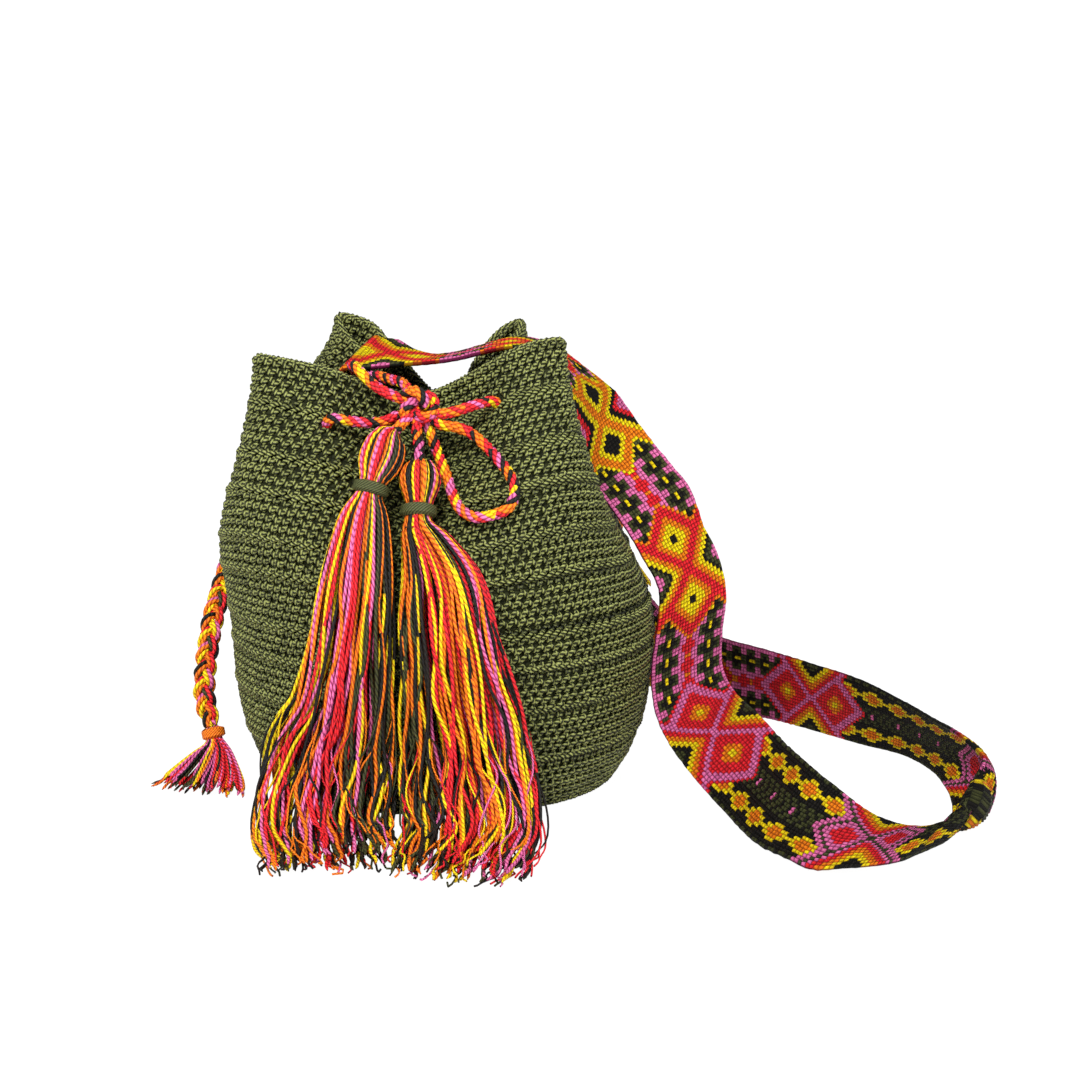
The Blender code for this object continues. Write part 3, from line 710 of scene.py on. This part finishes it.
def add_stitches(name, angle, level, chain, replaced=None):
    """Stitches outside the wall, or inside it where they replace nothing and show no chain."""
    uneven_angle, uneven_level, uneven_radius, uneven_tone = STITCH_JITTER
    jitter = RNG.normal(0.0, 1.0, (len(angle), 3))
    angle = angle + jitter[:, 0] * uneven_angle * STITCH_WIDTH
    level = level + jitter[:, 1] * uneven_level * STITCH_HEIGHT
    legs = [(leg, slice(None), LEG_RADIUS, 0.0) for leg in STITCH_LEGS]
    if replaced:
        legs.append((FRONT_LOOP, chain, LOOP_RADIUS, LOOP_TONE))
    groups = []
    for leg, keep, radius, light in legs:
        across, up, out = np.array(leg).T
        a = angle[keep, None] + (across + STITCH_LEAN * up) * STITCH_WIDTH
        b = np.clip(level[keep, None] + up * STITCH_HEIGHT, 0.0, TOP_LEVEL)
        out = np.broadcast_to(out, a.shape)
        shift = jitter[keep, 2:3]
        face = wall_face(a, b)
        radii = np.array(YARN_TAPER) * radius * (1.0 + uneven_radius * shift)
        tone = np.clip(STITCH_TONE + uneven_tone * shift + light, 0, 1)
        if replaced:
            path = wall_at(a, b, SURFACE + out)
            # Painted shade: stitches darken where the cloth sinks in at its folds
            sunk = crease((a[:, 1:] + a[:, :-1]) / 2, (b[:, 1:] + b[:, :-1]) / 2)
            tone = tone - PAINTED_CREASE_SHADE * sunk / CREASE_DEPTH
        else:
            path = wall_point(a, b) + face * (-WALL - SURFACE - out)[..., None]
        groups.append((tube_parts(path, radii, sides=5, pitch=2.4, up=face), 0, tone))
    add_yarns(name, "bag", groups, [stitch_yarn], "olive_crochet", replaced)


def make_stitches():
    """The wall's stitches, outside in bands from the base up, and inside the mouth."""
    angle, level, chain = stitch_grid(0.0)
    for band in range(BANDS):
        keep = np.floor(level * BANDS) == band
        name = "crochet_stitches_%d" % (band + 1)
        add_stitches(name, angle[keep], level[keep], chain[keep], "crochet_body")
    add_stitches("crochet_inside", *stitch_grid(INSIDE_FROM))


def make_core():
    """The cloth under the stitches, closed over the rim, inside and across the base; its near-black is
    painted shade.
    """
    angle = np.arange(AROUND + 1) * 360.0 / AROUND
    rows = []
    marks = []
    centre = np.array((SAG_SHIFT, 0.0, 0.0))
    edge = wall_point(angle, 0.0)
    for share in np.linspace(*BASE_SHARES, BASE_LINES):
        rows.append(centre + (edge - centre) * share + (0, 0, BASE_LIFT))
        marks.append((share - 1.0) * BASE_KNOTS - 2.0)
    for level in np.linspace(0.0, 1.0, 2 * ROWS + 1):
        row = wall_at(angle, level, CLOTH)
        row[:, 2] = np.maximum(row[:, 2], BASE_LIFT)
        rows.append(row)
        marks.append(level * ROWS)
    for level in np.linspace(1.0, 0.0, ROWS + 1):
        inset = WALL - (LINED if level > INSIDE_FROM else BARE)
        row = wall_point(angle, level) - wall_face(angle, level) * inset
        row[:, 2] = np.maximum(row[:, 2], WALL)
        rows.append(row)
        marks.append(ROWS + 1.0 + (1.0 - level) * ROWS)
    for share in np.linspace(*INNER_BASE_SHARES, BASE_LINES):
        rows.append(centre + (edge - centre) * share + (0, 0, WALL))
        marks.append(2.0 * ROWS + 1.0 + (1.0 - share) * BASE_KNOTS)
    points = np.stack(rows)
    faces = grid_faces(np.arange(points[..., 0].size).reshape(points.shape[:2]))
    place = grid_places(np.arange(AROUND + 1.0), marks)
    # Painted shade: the whole cloth takes a low tone
    tones = np.full(len(faces), CLOTH_TONE)
    mesh_object("crochet_shade_cloth", points, faces, "bag", place[faces], tones, [shade_cloth_knots], "olive_crochet")


def make_rim():
    """The chain of loops along the rim."""
    angle = np.linspace(0.0, 360.0, 361)
    path = wall_point(angle, 1.0) + wall_face(angle, 1.0) * (-WALL / 2) + (0, 0, -RIM_DROP)
    strands = lay_round(curve_rows(path, step=1.6), count=2, offset=1.0, pitch=5.6)
    group = (tube_parts(strands, radii=1.15, sides=6, pitch=2.6), 0, RIM_TONES)
    add_yarns("crochet_rim", "bag", [group], [stitch_yarn], "olive_crochet")


def make_base():
    """Rings of stitches across the base."""
    centre = np.array((SAG_SHIFT, 0.0, 0.0))
    angles = []
    shares = []
    for ring in range(BASE_RINGS):
        share = (ring + BASE_START) / BASE_RINGS
        count = max(6, round(AROUND * share * BASE_SPACING))
        angles.append((np.arange(count) + BASE_TURN * ring) * 360.0 / count)
        shares.append(np.full(count, share))
    angle, share = np.concatenate(angles), np.concatenate(shares)
    leg = np.array(BASE_LEG)
    width = STITCH_WIDTH / (BASE_SPACING * share)
    groups = []
    for way in (-1.0, 1.0):
        a = angle[:, None] + way * leg[:, 0] * width[:, None]
        s = share[:, None] + leg[:, 1] / BASE_RINGS
        points = centre + (wall_point(a, 0.0) - centre) * s[..., None]
        points[..., 2] = BASE_HEIGHT + leg[:, 2]
        tubes = tube_parts(points, radii=1.0, sides=4, pitch=2.6, up=(0.0, 0.0, -1.0))
        groups.append((tubes, 0, BASE_TONE))
    add_yarns("crochet_base", "bag", groups, [stitch_yarn], "olive_crochet")


make_stitches()
make_core()
make_rim()
make_base()


# Strap: the frame's route, woven in rows of knots

STRAP_WIDTH = 54.0
KNOT_COLUMNS = 22
KNOT = STRAP_WIDTH / KNOT_COLUMNS
# Half the angle that the band's width takes on the wall
WALL_SPAN = 12.0
# Least curl across the band, in radians on the wall and in degrees everywhere
WALL_CURL = 0.001
LEAST_CURL = 0.1
LEFT_END = ((159, 0.66, 5.2), (163, 0.735, 5), (169, 0.81, 5.8), (176, 0.89, 6.8))
# Middle of the band, direction across it and its curl in degrees, down its length
MOUTH_TO_FLOOR = (
    (-50, 2.5, 263.5, 0.29, 0.92, 0.28, 0), (-42, 2, 265, 0.26, 0.93, 0.25, 0),
    (-30, 1, 265, 0.2, 0.96, 0.2, 0), (-18, 0, 263, 0.1, 0.98, 0.06, 0),
    (-4, 0, 262, 0.05, 0.99, -0.02, 0), (12, 0, 264, 0, 1, -0.03, 0), (28, 1, 268, 0, 1, -0.02, 0),
    (44, 2, 271.5, 0, 1, 0, 0), (58, 3, 270.5, 0.03, 1, 0.03, 0), (72, 5, 264, 0.12, 0.98, 0.02, 0),
    (86, 8, 250, 0.3, 0.95, 0.02, 0), (96, 10, 238, 0.46, 0.89, 0.06, 0),
    (101, 10, 223, 0.53, 0.78, 0.34, 0), (110, 10, 203, 0.67, 0.61, 0.43, 0),
    (124, 8, 185, 0.75, 0.55, 0.37, 0), (137, 5, 168, 0.76, 0.51, 0.39, 0),
    (147, 1, 147, 0.72, 0.62, 0.28, 0), (156, -3, 129, 0.72, 0.63, 0.28, 0),
    (158, -8, 107, 0.82, 0.50, 0.28, 0), (155, -14, 83, 0.84, 0.47, 0.28, 0),
    (155, -24, 63, 0.83, 0.48, 0.27, 0), (161, -41, 49, 0.84, 0.37, 0.38, 0),
    (173, -71, 39, 0.80, 0.10, 0.60, 0), (188, -98, 27, 0.71, 0.11, 0.69, 0),
    (202, -142, 22, 0.65, 0.17, 0.74, 0), (215, -163, 18.5, 0.63, 0.53, 0.56, 0),
    (228, -177, 14, 0.60, 0.68, 0.43, 20), (243, -178, 11, 0.55, 0.80, 0.24, 30),
    (259, -173, 8, 0.53, 0.84, 0.14, 45), (275, -165, 6.5, 0.53, 0.84, 0.10, 70),
    (286, -153, 7, 0.52, 0.84, 0.14, 85), (296, -139, 9, 0.43, 0.87, 0.23, 85),
    (304, -125, 11, 0.38, 0.86, 0.33, 90), (311, -115, 15, 0.40, 0.75, 0.53, 120),
    (314, -105, 17.5, 0.47, 0.47, 0.75, 145), (316, -92, 19, 0.44, 0.18, 0.88, 155),
    (315.5, -77, 21, 0.24, -0.08, 0.97, 160), (314, -57, 22, 0.04, -0.38, 0.92, 125),
    (310, -27, 22.5, -0.09, -0.6, 0.79, 45), (297, 14, 23, -0.11, -0.58, 0.80, 10),
    (273, 45, 26, -0.06, -0.42, 0.90, 0), (245, 81, 27, -0.04, -0.36, 0.93, 0),
    (220, 111, 27.5, -0.06, -0.28, 0.96, 0), (193, 134, 28, 0.0, -0.1, 0.99, 0),
    (166, 145, 34, 0.15, -0.1, 0.98, 0), (140, 138, 49, 0.4, -0.2, 0.88, 0),
    (119, 120, 73, 0.6, -0.4, 0.68, 0),
)
RIGHT_END = (
    (44, 0.37, 8), (42, 0.45, 4), (40.5, 0.53, 3.5), (38, 0.6, 3.5), (34, 0.69, 3.5), (30, 0.77, 4),
    (27, 0.85, 4),
)
# Rings of colour out from a crossing's lines, as (reach in knots, colour): along the band, then beside it
GOLD = (
    ((1.4, ORANGE), (3.8, YELLOW), (9, BLACK)),
    ((1.4, ORANGE), (3.2, YELLOW), (5.4, BLACK), (8, RED), (12, PINK)),
)
WARM = (
    ((1.4, RED), (3.4, ORANGE), (6.4, YELLOW), (9, BLACK)),
    ((1.4, RED), (3.4, ORANGE), (5.4, YELLOW), (7.0, BLACK), (9.0, OLIVE), (12, PINK)),
)
ROSE = (
    ((1.3, PINK), (5.4, RED), (7.4, ORANGE), (9, YELLOW)),
    ((2.4, RED), (4.4, ORANGE), (6.4, YELLOW), (8.6, BLACK), (12, OLIVE)),
)
LEAF = (
    ((1.0, OLIVE), (2.4, PINK), (5.4, RED), (9, ORANGE)),
    ((1.4, PINK), (3.4, RED), (5.4, ORANGE), (7.4, YELLOW), (12, BLACK)),
)
# Crossings down the band: distance from its left end, rings, length of its diamonds in knots, and the
# panel that follows
CROSSINGS = (
    (60, ROSE, 16, "columns"), (150, WARM, 14, "columns"), (238, WARM, 12, "columns"),
    (305, GOLD, 14, "columns"), (413, WARM, 16, "columns"), (533, ROSE, 18, "chains"),
    (686, LEAF, 12, "chains"), (820, LEAF, 12, "chains"), (997, ROSE, 18, "columns"),
    (1110, WARM, 16, "columns"), (1225, LEAF, 14, "chains"), (1330, ROSE, 16, "columns"),
)
# Width in knots of the border round a diamond, and distance of a panel's columns from the band's middle
BORDER = 2.6
COLUMN = 6.5
# Half the band's thickness on the knots, between them and at the band's edges
KNOT_CROWN = 1.6
KNOT_GAP = 0.95
BAND_EDGE = 0.7
BAND_FLOOR = 0.3
# Unevenness of the knots: share of the thickness, and distance across and along the band
KNOT_JITTER = (0.05, 0.14, 0.2)
# Tones of the knots, with painted shade that darkens the band's low part near the floor
WEAVE_TONE = 0.55
WEAVE_SPREAD = 0.16
SHADE = 0.35
SHADE_TOP = 80.0
SHADE_FADE = 40.0


def wall_stations(places):
    """Strap stations that follow the wall, with the band's outer edge towards the smaller angle."""
    found = []
    for angle, level, out in places:
        near, middle, far = off_wall([(angle + turn, level, out) for turn in (WALL_SPAN, 0.0, -WALL_SPAN)])
        face = wall_face(angle, level)
        chord = np.linalg.norm(far - near)
        curl = 4.0 * math.atan(2.0 * (middle - (near + far) / 2).dot(face) / chord)
        curl = math.copysign(max(abs(curl), WALL_CURL), curl)
        sink = STRAP_WIDTH / curl * (1.0 - math.cos(curl / 2))
        found.append((*(middle - face * sink), *((far - near) / chord), math.degrees(curl)))
    return found


def ring_colours(depth, rings):
    """The colour of the first ring that reaches past a depth, or else the last ring's."""
    found = np.full(depth.shape, rings[-1][1])
    for reach, colour in rings[::-1]:
        found = np.where(depth < reach, colour, found)
    return found


def column_panel(row, col):
    """Ragged olive columns with yellow ties on pink, and a red middle. Rows are counted from a crossing."""
    step = np.abs(row % 5 - 2)
    off = np.abs(col - COLUMN)
    found = np.where(col < 1.0 + (step > 1), RED, PINK)
    found = np.where((col < 1.0) & (step < 1), ORANGE, found)
    found = np.where(off < 1.6 + 1.5 * (step < 2), OLIVE, found)
    found = np.where((off < 1.1) & (step < 2) | (off < 2.1) & (step < 1), BLACK, found)
    return np.where((off < 0.6) & (row % 5 > 0) & (row % 5 < 3), YELLOW, found)


def chain_panel(row, col):
    """Two chains of stepped yellow squares with orange middles, on black and olive."""
    step = np.abs(row % 9 - 4)
    off = np.abs(col - COLUMN)
    found = np.where((off < 3.6) | ((row + np.floor(col)) % 3 == 0), BLACK, OLIVE)
    found = np.where((col < 1.0) & (row % 9 == 4), PINK, found)
    found = np.where((off < 2.6) & (step < 2) | (off < 1.6) & (step < 4) | (off < 0.6), YELLOW, found)
    return np.where((off < 1.1) & (step < 2) | (off < 0.6) & (step < 3), ORANGE, found)


def strap_pattern(row_count):
    """A colour for every knot of the band, by row and column."""
    row, col = np.indices((row_count, KNOT_COLUMNS))
    col = np.abs(col - (KNOT_COLUMNS - 1) / 2)
    places = np.array([round(crossing[0] / KNOT) for crossing in CROSSINGS])
    nearest = np.abs(row[..., None] + 0.5 - places).argmin(-1)
    before = np.clip(np.searchsorted(places, row, side="right") - 1, 0, len(places) - 1)
    found = np.zeros(row.shape, int)
    panels = {"columns": column_panel, "chains": chain_panel}
    for k, crossing in enumerate(CROSSINGS):
        found = np.where(before == k, panels[crossing[3]](row - places[k], col), found)
    for k, (_, (along, beside), diamond, _) in enumerate(CROSSINGS):
        mine = nearest == k
        away = np.abs(row + 0.5 - places[k])
        line = away - col
        closing = diamond - away - col
        beyond = np.minimum(line, -closing)
        found = np.where(mine & (line < 0), ring_colours(-line, beside), found)
        inside = mine & (line >= 0) & (closing >= 0)
        found = np.where(inside, ring_colours(np.minimum(line, closing), along), found)
        border = mine & (line >= 0) & (closing < 0) & (beyond < BORDER)
        found = np.where(border, ring_colours(beyond, along[:2]), found)
    return found


def make_strap():
    """The band: a closed skin that bulges at each knot, one face and colour for each half knot."""
    stations = wall_stations(LEFT_END) + list(MOUTH_TO_FLOOR) + wall_stations(RIGHT_END)
    rows = curve_rows(stations, KNOT)
    count = len(rows) - 1
    place, across = rows[:, :3], rows[:, 3:6]
    face = unit(np.cross(directions(place), across))
    curl = np.radians(np.copysign(np.maximum(np.abs(rows[:, 6]), LEAST_CURL), rows[:, 6]))[:, None]
    halves = 2 * KNOT_COLUMNS
    side = np.arange(halves + 1)[None] / halves - 0.5
    turn = curl * side
    radius = STRAP_WIDTH / curl
    sine, cosine = np.sin(turn)[..., None], np.cos(turn)[..., None]
    normal = face[:, None] * cosine + across[:, None] * sine
    middle = place[:, None] + across[:, None] * radius[..., None] * sine
    middle = middle + face[:, None] * (radius[..., None] * (cosine - np.cos(curl / 2)[..., None]))
    crown = np.where(np.arange(halves + 1) % 2 == 1, KNOT_CROWN, KNOT_GAP)
    crown[[0, -1]] = BAND_EDGE
    jitter = [RNG.normal(0.0, spread, (count + 1, halves + 1, 1)) for spread in KNOT_JITTER]
    thick = crown[:, None] * (1.0 + jitter[0])
    middle = middle + across[:, None] * jitter[1] + directions(place)[:, None] * jitter[2]
    outer = middle + normal * thick
    inner = middle - normal * thick
    pattern = strap_pattern(count)
    points = np.concatenate([outer.reshape(-1, 3), inner.reshape(-1, 3)])
    points[:, 2] = np.maximum(points[:, 2], BAND_FLOOR)
    index = np.arange(outer[..., 0].size).reshape(outer.shape[:2])
    shift = index.size
    top = grid_faces(index)
    colour = np.repeat(pattern, 2, axis=1).ravel()
    faces = [top, top[:, ::-1] + shift]
    colours = [colour, colour]
    borders = (
        (index[:, 0], 1, pattern[:, 0]), (index[:, -1], -1, pattern[:, -1]),
        (index[0], -1, np.full(halves, RED)), (index[-1], 1, np.full(halves, RED)),
    )
    for line, order, colour in borders:
        strip = np.stack([line[:-1], line[1:], line[1:] + shift, line[:-1] + shift], -1)
        faces.append(strip[:, ::order])
        colours.append(colour)
    faces = np.concatenate(faces)
    place = np.tile(grid_places(np.arange(halves + 1) / 2.0, np.arange(count + 1)), (2, 1))
    # Painted shade on the band's low part
    shade = 1.0 - smooth((points[faces].mean(1)[:, 2] - SHADE_TOP) / SHADE_FADE)
    tones = np.clip(RNG.normal(WEAVE_TONE, WEAVE_SPREAD, len(faces)) - SHADE * shade, 0.0, 1.0)
    looks = (place[faces], tones, strap_knots, "strap_weave", "strap", np.concatenate(colours))
    mesh_object("strap_weave", points, faces, "bag", *looks)


make_strap()


# Plaited tails below the strap's ends

TAIL_PERIOD = 32.0
# How far the plait's three parts swing across and in depth, and how they close up at both ends
PLAIT_SWING = 4.2
PLAIT_DEPTH = 2.2
TOP_CLOSE = (0.35, 8.0)
TIE_CLOSE = (0.55, 12.0)
PLAIT_YARNS = 4
FRINGE_YARNS = 120
FRINGE_RADIUS = 1.0
FRINGE_WEIGHTS = (0.26, 0.16, 0.16, 0.08, 0.16, 0.18)
YARN_TONES = (0.3, 0.8)
LEFT_TAIL = (
    (-129.2, 63.5, 177), (-130.6, 63, 168), (-132.5, 58, 149), (-135, 46, 134), (-138.5, 29, 119),
    (-142.5, 8, 101), (-145, -8, 80), (-146.5, -16, 57), (-143.8, -20.5, 44), (-141, -23.5, 35),
)
LEFT_FRINGE = (
    (-141, -23.5, 35, 4.8, 4.8), (-139.3, -25.8, 28, 5.0, 4.8), (-139, -30, 20, 12, 6.5),
    (-141.5, -43, 11, 22, 6), (-145, -61, 4.8, 30, 4.2),
)
RIGHT_TAIL = (
    (82.3, 53.5, 236.3), (95, 62.5, 225), (105, 76, 200), (108.5, 85, 175), (110.5, 91, 150),
    (113.5, 96, 130),
)
RIGHT_FRINGE = (
    (113.5, 96, 130, 4.8, 4.8), (115, 98, 123, 5.0, 4.8), (118, 102, 113, 10, 6.5),
    (122, 109, 102, 13, 6.5), (126, 117.5, 92, 15, 6),
)
PLAIT_COLOURS = ((ORANGE, YELLOW, RED, ORANGE), (BLACK, RED, OLIVE, ORANGE), (YELLOW, ORANGE, PINK, YELLOW))


def make_tail(side, braid, fringe, seed):
    """A plait of three parts with four yarns each, its fringe, and the thread tied round between them."""
    rng = np.random.default_rng(seed)
    path = curve_rows(braid, step=1.6)
    gone = lengths(path)
    sides, ups = turning_frame(path, (0.0, 1.0, 0.0))
    narrow = 1.0
    for (share, span), away in ((TIE_CLOSE, gone[-1] - gone), (TOP_CLOSE, gone)):
        narrow = narrow - share * smooth((span - away) / span)
    groups = []
    for k, colours in enumerate(PLAIT_COLOURS):
        turn = 2 * math.pi * (gone / TAIL_PERIOD + k / len(PLAIT_COLOURS))
        swing = (PLAIT_SWING * narrow * np.sin(turn))[:, None]
        cross = (PLAIT_DEPTH * narrow * np.sin(2.0 * turn))[:, None]
        strands = lay_round(path + sides * swing + ups * cross, PLAIT_YARNS, offset=1.75, pitch=40.0)
        tubes = tube_parts(strands, radii=1.35, sides=5, pitch=3.4, cut_ends=True)
        groups.append((tubes, colours, rng.uniform(*STRAND_TONES, PLAIT_YARNS)))
    name = side + "_tail"
    body = side + "_braid"
    add_yarns(name + "_plait", body, groups, yarns, "drawstring_yarn", name)
    paths = bundle_paths(
        fringe, FRINGE_YARNS, FRINGE_RADIUS, rng, neck=9.0, steps=20, wander=1.9, trims=(0.8, 1.0),
    )
    colours = pick_colours(FRINGE_YARNS, FRINGE_WEIGHTS, rng)
    tubes = tube_parts(paths, FRINGE_RADIUS, sides=4, pitch=3.2, cut_ends=True)
    group = (tubes, colours, rng.uniform(*YARN_TONES, FRINGE_YARNS))
    add_yarns(name + "_fringe", body, [group], yarns, "drawstring_yarn")
    above, below = np.array(fringe[0][:3]), np.array(fringe[1][:3])
    middle = (above + below) / 2
    group = winding_group(middle, above - below, radii=(4.7, 5.7, 6.5), height=8.0, thread=0.85)
    add_yarns(name + "_tie_thread", body, [group], [yarns[ORANGE]], "orange_thread", name + "_tie")


make_tail("left", LEFT_TAIL, LEFT_FRINGE, seed=21)
make_tail("right", RIGHT_TAIL, RIGHT_FRINGE, seed=22)


# Tassels

TASSEL_YARNS = 116
YARN_RADIUS = 1.15
# Thin strands of opened yarn from this step of the tassel's paths on
FRAYED_YARNS = 74
FRAY_START = 37
FRAY_SPACE = 0.5
FRAY_RADIUS = 0.62
FRAY_TAPER = (0.1, 6.0)
FRAY_WEIGHTS = (0.10, 0.14, 0.24, 0.12, 0.12, 0.28)
FRAY_TONES = (0.4, 0.9)
LEFT_WEIGHTS = (0.09, 0.28, 0.23, 0.24, 0.06, 0.10)
RIGHT_WEIGHTS = (0.07, 0.20, 0.24, 0.25, 0.08, 0.16)
LEFT_HEAD = (
    (-17.5, -88, 232, 2.8, 2.8), (-20.5, -90, 229.5, 4.2, 4.2), (-24.5, -93.5, 225, 10.5, 8.5),
    (-27, -99.5, 216, 13, 10), (-29.7, -104, 208.5, 11.3, 10), (-31.7, -106.5, 203.8, 8.0, 8.0),
    (-33, -108, 199.2, 7.4, 7.4), (-34.3, -109.7, 194.6, 7.9, 7.9),
)
LEFT_SKIRT = (
    (-35.8, -112.5, 187, 12.5, 9.5), (-37.5, -117, 176, 16, 10.5), (-40, -127, 152, 20, 11.5),
    (-43, -134, 118, 23, 12), (-45.5, -134.5, 96, 25.5, 12.5), (-49.5, -133.5, 73, 29.5, 13),
    (-56, -134, 50, 35, 13.5), (-58.5, -141, 28, 37, 13.5), (-59, -161, 13, 37, 9.5),
    (-54, -184, 8, 36, 6), (-50, -206, 6, 35, 4.5),
)
RIGHT_HEAD = (
    (-8, -85, 228.8, 3.2, 3.2), (-6.8, -89.5, 222.5, 3.4, 3.4), (-6, -94, 216.5, 4.2, 4.2),
    (-5.6, -97.5, 211.5, 8.5, 7.5), (-5.4, -101.5, 205.5, 11.8, 10), (-5.4, -104.5, 200, 11.5, 10),
    (-5.7, -108, 191.2, 8.0, 8.0), (-6, -110.3, 186.4, 7.4, 7.4), (-6.2, -112.8, 181, 7.9, 7.9),
)
RIGHT_SKIRT = (
    (-4.8, -116, 174, 11.5, 9.5), (1, -121.5, 163, 17, 10.5), (8, -129.5, 145, 23.5, 11.5),
    (11.5, -136, 118, 27, 12), (15, -136, 92, 30.5, 12.5), (19.5, -135, 62, 34, 13),
    (22.5, -140, 33, 37, 13.5), (25.5, -160, 13.5, 37.5, 9.5), (21, -189, 8, 37, 6), (17, -219, 6, 36, 4.5),
)


def make_tassel(side, head, skirt, weights, cord_rows, toward, seed):
    """A tassel hung on a short cord: yarns from the head through the wrap and down to their cut ends."""
    rng = np.random.default_rng(seed)
    name = "tassel_" + side
    body = side + "_tassel"
    stub = curve_rows([KNOT_CENTRE] + [row[:3] for row in head[:cord_rows + 2]], step=1.5)
    add_yarns(name + "_cord", body, [cord_group(stub)], yarns, "drawstring_yarn")
    rows = head[cord_rows - 1:] + skirt
    neck = lengths(np.array(head[cord_rows - 1:])[:, :3])[-2]
    paths = bundle_paths(rows, TASSEL_YARNS, YARN_RADIUS, rng, neck)
    colours = darken_side(pick_colours(TASSEL_YARNS, weights, rng), toward)
    tubes = tube_parts(paths, YARN_RADIUS, sides=4, pitch=4.2, cut_ends=True)
    groups = [(tubes, colours, rng.uniform(*YARN_TONES, TASSEL_YARNS))]
    paths = bundle_paths(rows, FRAYED_YARNS, FRAY_SPACE, rng, neck, wander=1.7, trims=(0.88, 1.02))
    paths = paths[:, FRAY_START:]
    radii = FRAY_RADIUS * smooth(np.linspace(*FRAY_TAPER, paths.shape[1]))
    colours = darken_side(pick_colours(FRAYED_YARNS, FRAY_WEIGHTS, rng), toward)
    tubes = tube_parts(paths, radii, sides=4, pitch=2.2)
    groups.append((tubes, colours, rng.uniform(*FRAY_TONES, FRAYED_YARNS)))
    add_yarns(name + "_yarns", body, groups, yarns, "tassel_yarn", name)
    along = np.array(head[-3][:3]) - np.array(head[-1][:3])
    group = winding_group(head[-2][:3], along, radii=(7.9, 8.9, 9.7), height=8.5, thread=0.8)
    add_yarns(name + "_wrap_thread", body, [group], [wrap_yarn], "olive_crochet", name + "_wrap")


# Each tassel's dark side faces the other: real dark yarns, and partly painted shade between the two tassels
make_tassel("left", LEFT_HEAD, LEFT_SKIRT, LEFT_WEIGHTS, cord_rows=2, toward=1, seed=61)
make_tassel("right", RIGHT_HEAD, RIGHT_SKIRT, RIGHT_WEIGHTS, cord_rows=4, toward=-1, seed=47)


# Floor and light

FLOOR = 6.0
FLOOR_WHITE = 0.9
GLOW_SHARE = 0.85
AIM = (0.05, -0.05, 0.12)
SKY_SEEN = 0.6
SKY_LIGHT = 0.5


def make_floor():
    """A plain white sheet that shows its own white to the camera, with a faint contact shadow."""
    mesh = bpy.data.meshes.new("floor")
    corners = [(x * FLOOR, y * FLOOR, 0.0) for x, y in ((-1, -1), (1, -1), (1, 1), (-1, 1))]
    mesh.from_pydata(corners, [], [(0, 1, 2, 3)])
    material, nodes, links, shader = new_material("floor", 1.0, 0.0)
    shader.inputs["Base Color"].default_value = (FLOOR_WHITE, FLOOR_WHITE, FLOOR_WHITE, 1.0)
    seen = nodes.new("ShaderNodeLightPath").outputs["Is Camera Ray"]
    glow = nodes.new("ShaderNodeEmission")
    glow.inputs["Strength"].default_value = 1.15
    mix = nodes.new("ShaderNodeMixShader")
    links.new(add_maths(nodes, links, "MULTIPLY", seen, GLOW_SHARE), mix.inputs[0])
    links.new(shader.outputs[0], mix.inputs[1])
    links.new(glow.outputs[0], mix.inputs[2])
    links.new(mix.outputs[0], nodes["Material Output"].inputs[0])
    mesh.materials.append(material)
    new_object("floor", mesh)


def add_light(name, place, size, watts):
    """A square lamp that points at the bag."""
    lamp = bpy.data.lights.new(name, "AREA")
    lamp.size = size
    lamp.energy = watts
    light = new_object(name, lamp)
    way = np.array(AIM) - np.array(place)
    flat = math.hypot(way[0], way[1])
    light.location = place
    light.rotation_euler = (math.atan2(flat, -way[2]), 0.0, math.atan2(-way[0], way[1]))


def make_sky():
    """An even white sky that lights the bag less than it shows."""
    world = bpy.data.worlds.new("world")
    world.use_nodes = True
    nodes, links = world.node_tree.nodes, world.node_tree.links
    sky = nodes["Background"]
    sky.inputs[0].default_value = (1.0, 1.0, 1.0, 1.0)
    seen = nodes.new("ShaderNodeLightPath").outputs["Is Camera Ray"]
    links.new(add_maths(nodes, links, "MULTIPLY_ADD", seen, SKY_SEEN, SKY_LIGHT), sky.inputs[1])
    bpy.context.scene.world = world


make_floor()
add_light("key", (-0.35, -1.4, 1.55), size=0.7, watts=42.0)
add_light("fill", (1.4, -1.0, 1.0), size=1.0, watts=10.0)
make_sky()
bpy.context.scene.view_settings.view_transform = "Standard"
